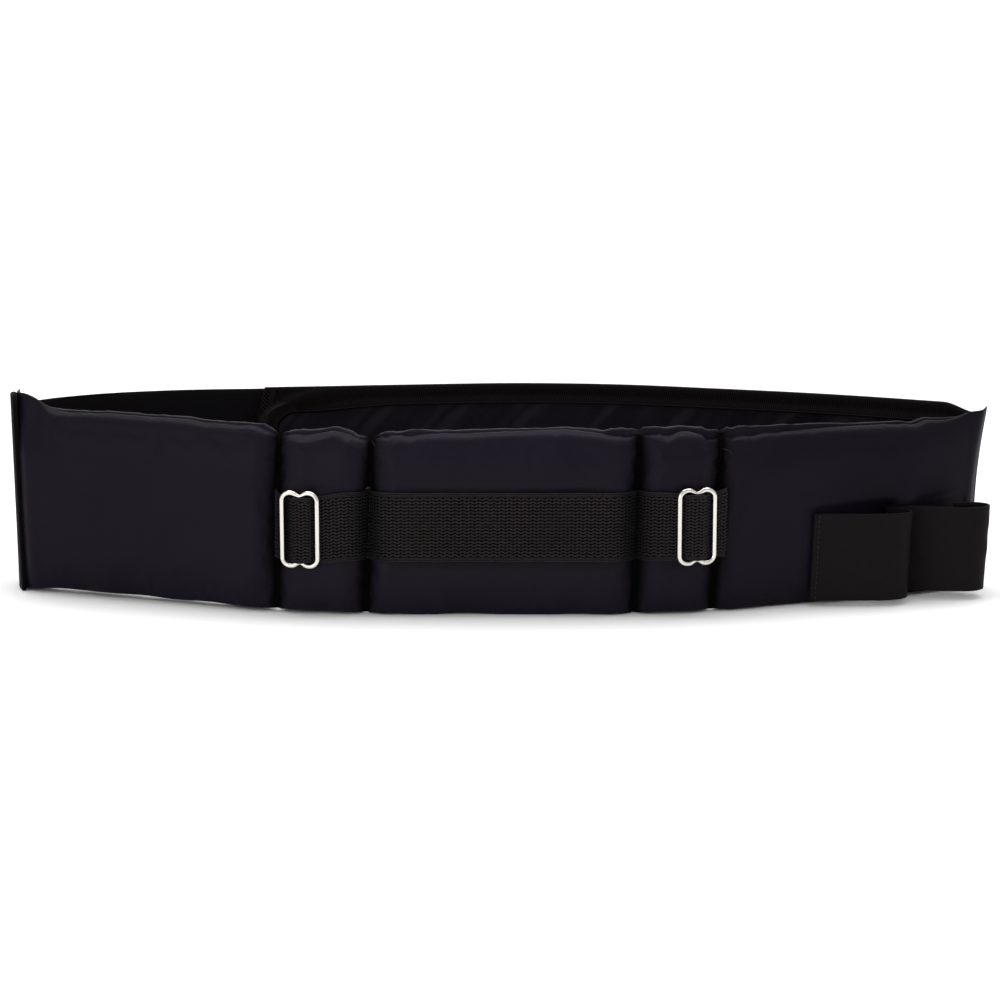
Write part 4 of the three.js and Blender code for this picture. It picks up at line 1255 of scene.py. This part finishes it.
def rolled(along, z):
    """How far the stuffed tape stands off where it would lie flat."""
    inward, top = TONGUE_END - along, tongue_top(along)
    down = np.minimum(top - z, z - TONGUE_HIGH + top)
    place = np.stack([inward, down], -1)
    nearest = np.linalg.norm(place[..., None, :] - TUCK, axis=-1).argmin(-1)
    off = place - TUCK[nearest]
    inside = off[..., 0] * TUCK_ALONG[nearest, 1] - off[..., 1] * TUCK_ALONG[nearest, 0]
    inside = np.where(inward > TUCK[0, 0], down, np.where(down > TUCK[-1, 1], inward, inside))
    width = mix(TAPE_WIDE, TAPE_WIDE_CORNER, smooth((along - TAPE_TURN) / TAPE_WIDENING + 1))
    short = np.maximum(np.stack([TAPE_WIDE_END + TAPE_ROUND - inward, width + TAPE_ROUND - down], -1), 0)
    left_over = np.maximum(np.linalg.norm(short, axis=-1) - TAPE_ROUND, 0)
    share = np.maximum(inside, 0) / (np.maximum(inside, 0) + left_over + 0.01)
    cornered = 1 - smooth((inward - 20) / 26)
    straight, corner = (np.interp(share, *np.array(table).T) for table in (ROLL, CORNER_ROLL))
    corner = np.where(inside > 0, corner, CORNER_FLAT)
    return mix(straight, corner, cornered)


def on_tape(pairs, inward, behind):
    """Points this share in from the fold, and this far behind the panel's middle, for each pair."""
    z = mix(pairs[:, 1], pairs[:, 3], inward)
    along = mix(pairs[:, 0], pairs[:, 2], inward)
    lifted = behind - rolled(along, z) * smooth(-behind / TAPE_INNER - 0.5)
    return tongue_point(along * (1 + tongue_bulge(z) / TONGUE_END), z, lifted)


# %% The tape, and its ribs
tape_cloth = spun_finish("tape_cloth", (0.0014, 0.0011, 0.0013), (0.0040, 0.0030, 0.0035),
                         rough=0.8, specular=0.03, scale=700)
tape_ribs = spun_finish("tape_ribs", (0.0040, 0.0030, 0.0035), (0.0096, 0.0073, 0.0083),
                        rough=0.7, specular=0.06, scale=700)
# painted highlight: the corner's ribs are a lighter copy of the rib colour, where the light catches them
corner_ribbing = spun_finish("corner_ribbing", (0.014, 0.011, 0.013), (0.032, 0.026, 0.029),
                             rough=0.7, specular=0.1, scale=700)
RIB, RIB_PITCH = 0.28, 1.1
ACROSS_TAPE = (1, 0.96, 0.92, 0.88, 0.84, 0.8, 0.76, 0.72, 0.68, 0.64, 0.6, 0.55, 0.48, 0.4, 0.32, 0.25,
               0.2, 0.15, 0.11, 0.08)
ACROSS_RIBS = (0.96, 0.9, 0.84, 0.77, 0.7, 0.63, 0.55, 0.45, 0.34, 0.24, 0.16, 0.1)


def tape_rows():
    pairs = tape_pairs(1.6)
    near_side = [(share, -TAPE_OUTER) for share in ACROSS_TAPE]
    fold = [(0.03, -0.7 * TAPE_OUTER), (0.024, 0), (0.03, 0.7 * TAPE_OUTER)]
    far_side = [(share, TAPE_OUTER) for share in ACROSS_TAPE[::-1]]
    under_far = [(share, TAPE_INNER) for share in ACROSS_TAPE]
    under_fold = [(0.09, 0.7 * TAPE_INNER), (0.09, 0), (0.09, -0.7 * TAPE_INNER)]
    under_near = [(share, -TAPE_INNER / 2 - 0.05) for share in ACROSS_TAPE[::-1]]
    loop = near_side + fold + far_side + under_far + under_fold + under_near
    return np.stack([on_tape(pairs, inward, behind) for inward, behind in loop], 1)


binding_tape = skin("binding_tape", tape_rows())
belongs(binding_tape, "tape", tape_cloth, "tongue_binding")
OVER_FOLD = [(0.035, -0.75), (0.02, 0), (0.035, 0.75), (0.1, 1), (0.5, 1), (1, 1)]
RIB_PATH = [(share, -1) for share in ACROSS_RIBS] + OVER_FOLD
rib_pairs = tape_pairs(RIB_PITCH)
rib_lines = np.stack([on_tape(rib_pairs, inward, side * TAPE_OUTER) for inward, side in RIB_PATH], 1)
binding_ribs = along_lines("binding_ribs", list(rib_lines), cords_on_lines, Radius=RIB * MM, Sides=5,
                           Finish=tape_ribs)
belongs(binding_ribs, "tape", tape_ribs)

# %% [markdown]
# ### The mitred corner, and the tape's sewn edge
# At the panel's upper corner the tape is folded under itself, so for a finger's width its ribs meet in a
# row of Vs. These corner ribs, and those fanning round the tuck, take a lighter copy of the rib colour as
# painted highlight. Along its inner edge the tape has a firm selvedge, and a dark cord just below it is
# painted shadow under that edge.

# %% Vs at the corner, the selvedge, and a dark cord beside it as painted shadow
VEE = np.array([(0.5, -2.4), (2, -0.9), (3.6, 0.9), (5.2, -0.7), (7, -2.6)])
VEE_PITCH, VEE_RADIUS = 1.9, 0.2
MITRE_OFF = TAPE_OUTER + CORNER_FLAT + RIB + 0.25


def on_corner(inward, down, off):
    """A point on the near side of the panel's upper corner."""
    inward, down = np.broadcast_arrays(np.asarray(inward, float), down)
    along, z = TONGUE_END - inward, TONGUE_HIGH - down
    return tongue_point(along * (1 + tongue_bulge(z) / TONGUE_END), z, -off)


def vee_lines():
    lines = []
    for down in np.arange(1.6, 14, VEE_PITCH):
        depth = down + VEE[:, 1]
        kept = depth > 0.5
        if kept.sum() > 1:
            lines.append(on_corner(VEE[kept, 0], depth[kept], MITRE_OFF))
    return lines


def fan_lines():
    """Ribs of the tucked tape, level where the tuck begins and steeper as it turns down."""
    starts = TUCK[TUCK[:, 0] < 9][::2]
    slope = np.radians(34 * smooth((starts[:, 1] - 8) / 10))
    out = np.linspace(0.5, 6.2, 7)
    lines = []
    for (inward, down), angle in zip(starts, slope):
        line_in, line_down = inward + out * math.cos(angle), down - out * math.sin(angle) + 0.4
        along, z = TONGUE_END - line_in, TONGUE_HIGH - line_down
        lines.append(on_corner(line_in, line_down, TAPE_OUTER + rolled(along, z) + RIB))
    return lines


def mitre_rows():
    down = np.linspace(0.5, 12.5, 16)
    loop_down = np.concatenate([down, down[::-1]])
    off = np.concatenate([np.full(16, MITRE_OFF), np.full(16, MITRE_OFF - 0.5)])
    return np.stack([on_corner(inward, loop_down, off) for inward in np.linspace(0.4, 7.2, 9)])


binding_mitre = skin("binding_mitre", mitre_rows())
belongs(binding_mitre, "tape", tape_cloth)
corner_lines = vee_lines() + fan_lines()
mitre_ribs = along_lines("mitre_ribs", corner_lines, cords_on_lines, Radius=VEE_RADIUS * MM, Sides=5,
                         Finish=corner_ribbing)
belongs(mitre_ribs, "tape", corner_ribbing)
edge_pairs = tape_pairs(2)
selvedge = along_lines("binding_selvedge", [on_tape(edge_pairs, 0.97, -TAPE_OUTER - 0.25)], cords_on_lines,
                       Radius=0.34 * MM, Sides=6, Finish=tape_ribs)
belongs(selvedge, "tape", tape_ribs)
# painted shadow: a dark cord just below the tape's inner edge stands for the shade under it
shadow_cord = along_lines("binding_thread", [on_tape(edge_pairs, 1.05, -TONGUE_THICK / 2 - 0.5)],
                            cords_on_lines, Radius=0.35 * MM, Sides=6, Finish=tape_cloth)
belongs(shadow_cord, "tape", tape_cloth)

# %% [markdown]
# ## The closing strap
# From the left end a plain dark strap runs back and lies along the panel, which it fastens to. It is
# brushed cloth, so it hardly shines, with a turned hem along its top. A band skinned along its way is
# enough, with a slow wave because no strap lies quite flat.

# %% The strap
STRAP_WAY = [
    (-264.6, -12.6), (-265.6, -10.1), (-266.6, -7), (-267.2, -3), (-267.2, 0), (-266.7, 7), (-264, 16),
    (-255, 26.6), (-225.6, 42.6), (-181.5, 53.6), (-134.5, 57.9), (-113.5, 60.6), (-56.9, 67),
    (-8, 70.3), (22, 70.6)]
strap_brushed = spun_finish("strap_brushed", (0.0022, 0.0016, 0.0022), (0.0048, 0.0037, 0.0050),
                            rough=0.85, specular=0.08, scale=1400, depth=0.0002, sheen=0.02)
strap_way = eased(np.array(STRAP_WAY) + TO_MIDDLE, 2.5)
strap_passed = passed_along(strap_way)
strap_low = np.full(len(strap_way), 0.4)
strap_high = mix(110.4, 100.2, smooth((strap_passed - 10) / 24))
strap_lean = -2 * (1 - smooth((strap_passed - 3) / 26)) ** 2
BOUND_LENGTH = 15


def strap_wave(k, z):
    hem = 0.22 * smooth((z - strap_high[k] + 3.2) / 0.5) - 0.25 * hill(z, strap_high[k] - 3.4, 0.5)
    slow = 0.25 * ripple(strap_passed[k] / 60 + z * 0, z / 70, 41)
    return slow * smooth(strap_passed[k] / 40) + hem * 0.5


strap_rows = band_rows(strap_way, strap_low, strap_high, strap_lean, 0.95, -0.95, levels=44, corner=0.6,
                       wave=strap_wave)
fastening_strap = skin("fastening_strap", strap_rows)
belongs(fastening_strap, "strap", strap_brushed, "closure_strap")
strap_edge_cloth = spun_finish("strap_edge_cloth", (0.0022, 0.0020, 0.0022), (0.0046, 0.0042, 0.0046),
                               rough=0.8, specular=0.06)
strap_end_tape = spun_finish("strap_end_tape", (0.0062, 0.0056, 0.0062), (0.0128, 0.0117, 0.0128),
                             rough=0.8, specular=0.06)
bound = strap_passed < BOUND_LENGTH
strap_bound_end = skin("strap_bound_end", band_rows(
    strap_way[bound], strap_low[bound], strap_high[bound] + 0.3, strap_lean[bound], 1.25, -1.25, levels=44,
    corner=0.7))
belongs(strap_bound_end, "tape", strap_end_tape)


def along_strap(down, off):
    plan = strap_way[:, :2] + sideways(strap_way) * off
    return standing(plan, strap_high - down, strap_lean)


strap_hem = along_lines("strap_hem", [along_strap(0.35, 0)], cords_on_lines, Radius=0.75 * MM, Sides=8,
                        Finish=strap_edge_cloth)
belongs(strap_hem, "strap", strap_edge_cloth)

# %% [markdown]
# ## Stitches
# Thread shows on the real belt as a dotted line in each sewn groove, down the webbing's ends and down the
# elastic's. They are laid by the bead tree along the lines that the needle took.


# %% Lines of stitches
def groove_line(seam, z_from, z_to, off=1.35):
    z = np.linspace(z_from, z_to, 60)
    s = SEAM_AT[seam]
    plan = np.broadcast_to(pad_plan(s, off), (len(z), 2))
    return standing(plan, z, lean_at(s))


def down_band(way, low, high, lean, place, off, inset):
    """A line down a band at a distance along it, off to the left of its middle."""
    passed = passed_along(way[:, :2])
    k = int(np.abs(passed - place).argmin())
    z = np.linspace(low[k] + inset, high[k] - inset, 40)
    plan = np.broadcast_to(way[k, :2] + sideways(way)[k] * off, (len(z), 2))
    return standing(plan, z, lean[k])


def stitched(name, lines, length, gap, width, slot, finish):
    longest = max(float(np.linalg.norm(np.diff(line, axis=0), axis=-1).sum()) for line in lines)
    stitches = along_lines(
        name, lines, beads_on_lines, Count=round(longest / (length + gap)), Length=length * MM,
        Width=width * MM, Depth=width * MM, Tilt=0.0, Unevenness=0.1, Seed=9, Finish=finish)
    belongs(stitches, slot, finish)


groove_lines = [groove_line(seam, z_from=6, z_to=95) for seam in (1, 2, 3, 4)]
stitched("pad_stitching", groove_lines, length=2.3, gap=0.5, width=0.75, slot="nylon", finish=thread_nylon)
webbing_ends = [down_band(webbing_way, way_low, way_high, way_lean, place, -1.5, 1.2)
                for place in (1.3, 3.0, webbing_length - 1.4, webbing_length - 3.4)]
webbing_passed = length_along(webbing_way[:, None, :2]) / MM
at_seam = webbing_passed[np.abs(webbing_way[:, 0] - webbing_sewn[0]).argmin()]
webbing_ends.append(down_band(webbing_way, way_low, way_high, way_lean, at_seam, -1.6, 0.8))
stitched("webbing_stitching", webbing_ends, length=1.9, gap=0.5, width=0.6, slot="webbing",
         finish=webbing_thread)
elastic_line = down_band(elastic_way, elastic_low, elastic_high, elastic_lean, 3.2, off=-0.85, inset=1.5)
stitched("elastic_stitching", [elastic_line], length=2.0, gap=0.7, width=0.5, slot="elastic",
         finish=webbing_thread)


# %% Loose ends of thread, and a knot
def loose_thread(name, ways, radius, finish):
    lines = []
    for s, high, steps in ways:
        step = np.array(steps, float)
        way = s + step[:, 0]
        plan = pad_plan(way, pad_half(way) + step[:, 2])
        lines.append(standing(plan, high + step[:, 1], lean_at(s)))
    thread = along_lines(name, lines, cords_on_lines, Radius=radius * MM, Sides=5, Finish=finish)
    belongs(thread, "nylon", finish)


pale_thread = spun_finish("pale_thread", (0.018, 0.016, 0.02), (0.032, 0.03, 0.036),
                          rough=0.6, specular=0.2)
# Each point of a loose end is so far along the pad, so far up, and so far off its face.
LONG_END = [(0, 0.4, 0.4), (1.3, 0.5, 0.5), (2.5, 0, 0.5), (3.5, -0.9, 0.45), (4.1, -1.9, 0.4)]
SHORT_END = [(0, 2, 0.6), (0.4, 1.1, 0.8), (1.1, 0.4, 0.7), (1.4, -0.6, 0.6)]
KNOT = [(-0.9, 0.1, 3.4), (0, 0.7, 3.7), (0.9, 0.1, 3.4), (0, -0.5, 3.5), (-0.6, 0.3, 3.9)]
loose_thread("loose_threads", [(SEAM_AT[4] + 0.7, 89.5, LONG_END), (SEAM_AT[2] + 0.3, 93.5, SHORT_END)],
             0.11, pale_thread)
loose_thread("thread_knot", [(SEAM_AT[2] - 0.6, 70.2, KNOT)], 0.5, webbing_thread)

# %% [markdown]
# ## The floor and the light
# The belt was photographed on a white sweep in broad soft light. A large pale floor stands for the sweep.
# Most of the light comes from a wide lamp overhead. A weaker one at the left rounds that end, a low one
# in front at the left lifts the face, one keeps the far floor as white as the near, and an even pale
# surround is there for the wire to mirror.

# %% Floor, lamps and surround
FLOOR_SIZE = 30.0
floor_mesh = bpy.data.meshes.new("pale_floor")
reach = FLOOR_SIZE / 2
floor_mesh.from_pydata([(-reach, -reach, 0), (reach, -reach, 0), (reach, reach, 0), (-reach, reach, 0)], [],
                       [(0, 1, 2, 3)])
pale_floor = bpy.data.objects.new("pale_floor", floor_mesh)
bpy.context.scene.collection.objects.link(pale_floor)
floor_paper = Finish("floor_paper").surface(base_color=(0.93, 0.93, 0.93, 1), roughness=0.9,
                                            specular_ior_level=0.1)
floor_mesh.materials.append(floor_paper)


def soft_lamp(name, place, aim, size, power):
    lamp = bpy.data.objects.new(name, bpy.data.lights.new(name, "AREA"))
    lamp.data.shape = "RECTANGLE"
    lamp.data.size, lamp.data.size_y = size
    lamp.data.energy = power
    lamp.location = place
    right, back, up = np.array(place) - np.array(aim)
    lamp.rotation_euler = (math.atan2(math.hypot(right, back), up), 0, math.atan2(right, -back))
    bpy.context.scene.collection.objects.link(lamp)
    return lamp


soft_lamp("overhead", (0, 0.3, 2.2), (0, 0.25, 0), size=(2.4, 1.2), power=42)
soft_lamp("left_side", (-2.2, -0.9, 1.0), (0, 0, 0.05), size=(1.2, 1.6), power=3.5)
soft_lamp("front_left", (-1.2, -2.0, 0.4), (0, 0, 0.05), size=(1.4, 0.8), power=8)
soft_lamp("far_floor", (0, 4.5, 2.6), (0, 4.5, 0), size=(6.0, 4.0), power=60)
surround = bpy.data.worlds.new("pale_surround")
surround.use_nodes = True
surround.node_tree.nodes["Background"].inputs["Color"].default_value = (1, 1, 1, 1)
surround.node_tree.nodes["Background"].inputs["Strength"].default_value = 0.74
bpy.context.scene.world = surround
bpy.context.scene.view_settings.view_transform = "Standard"
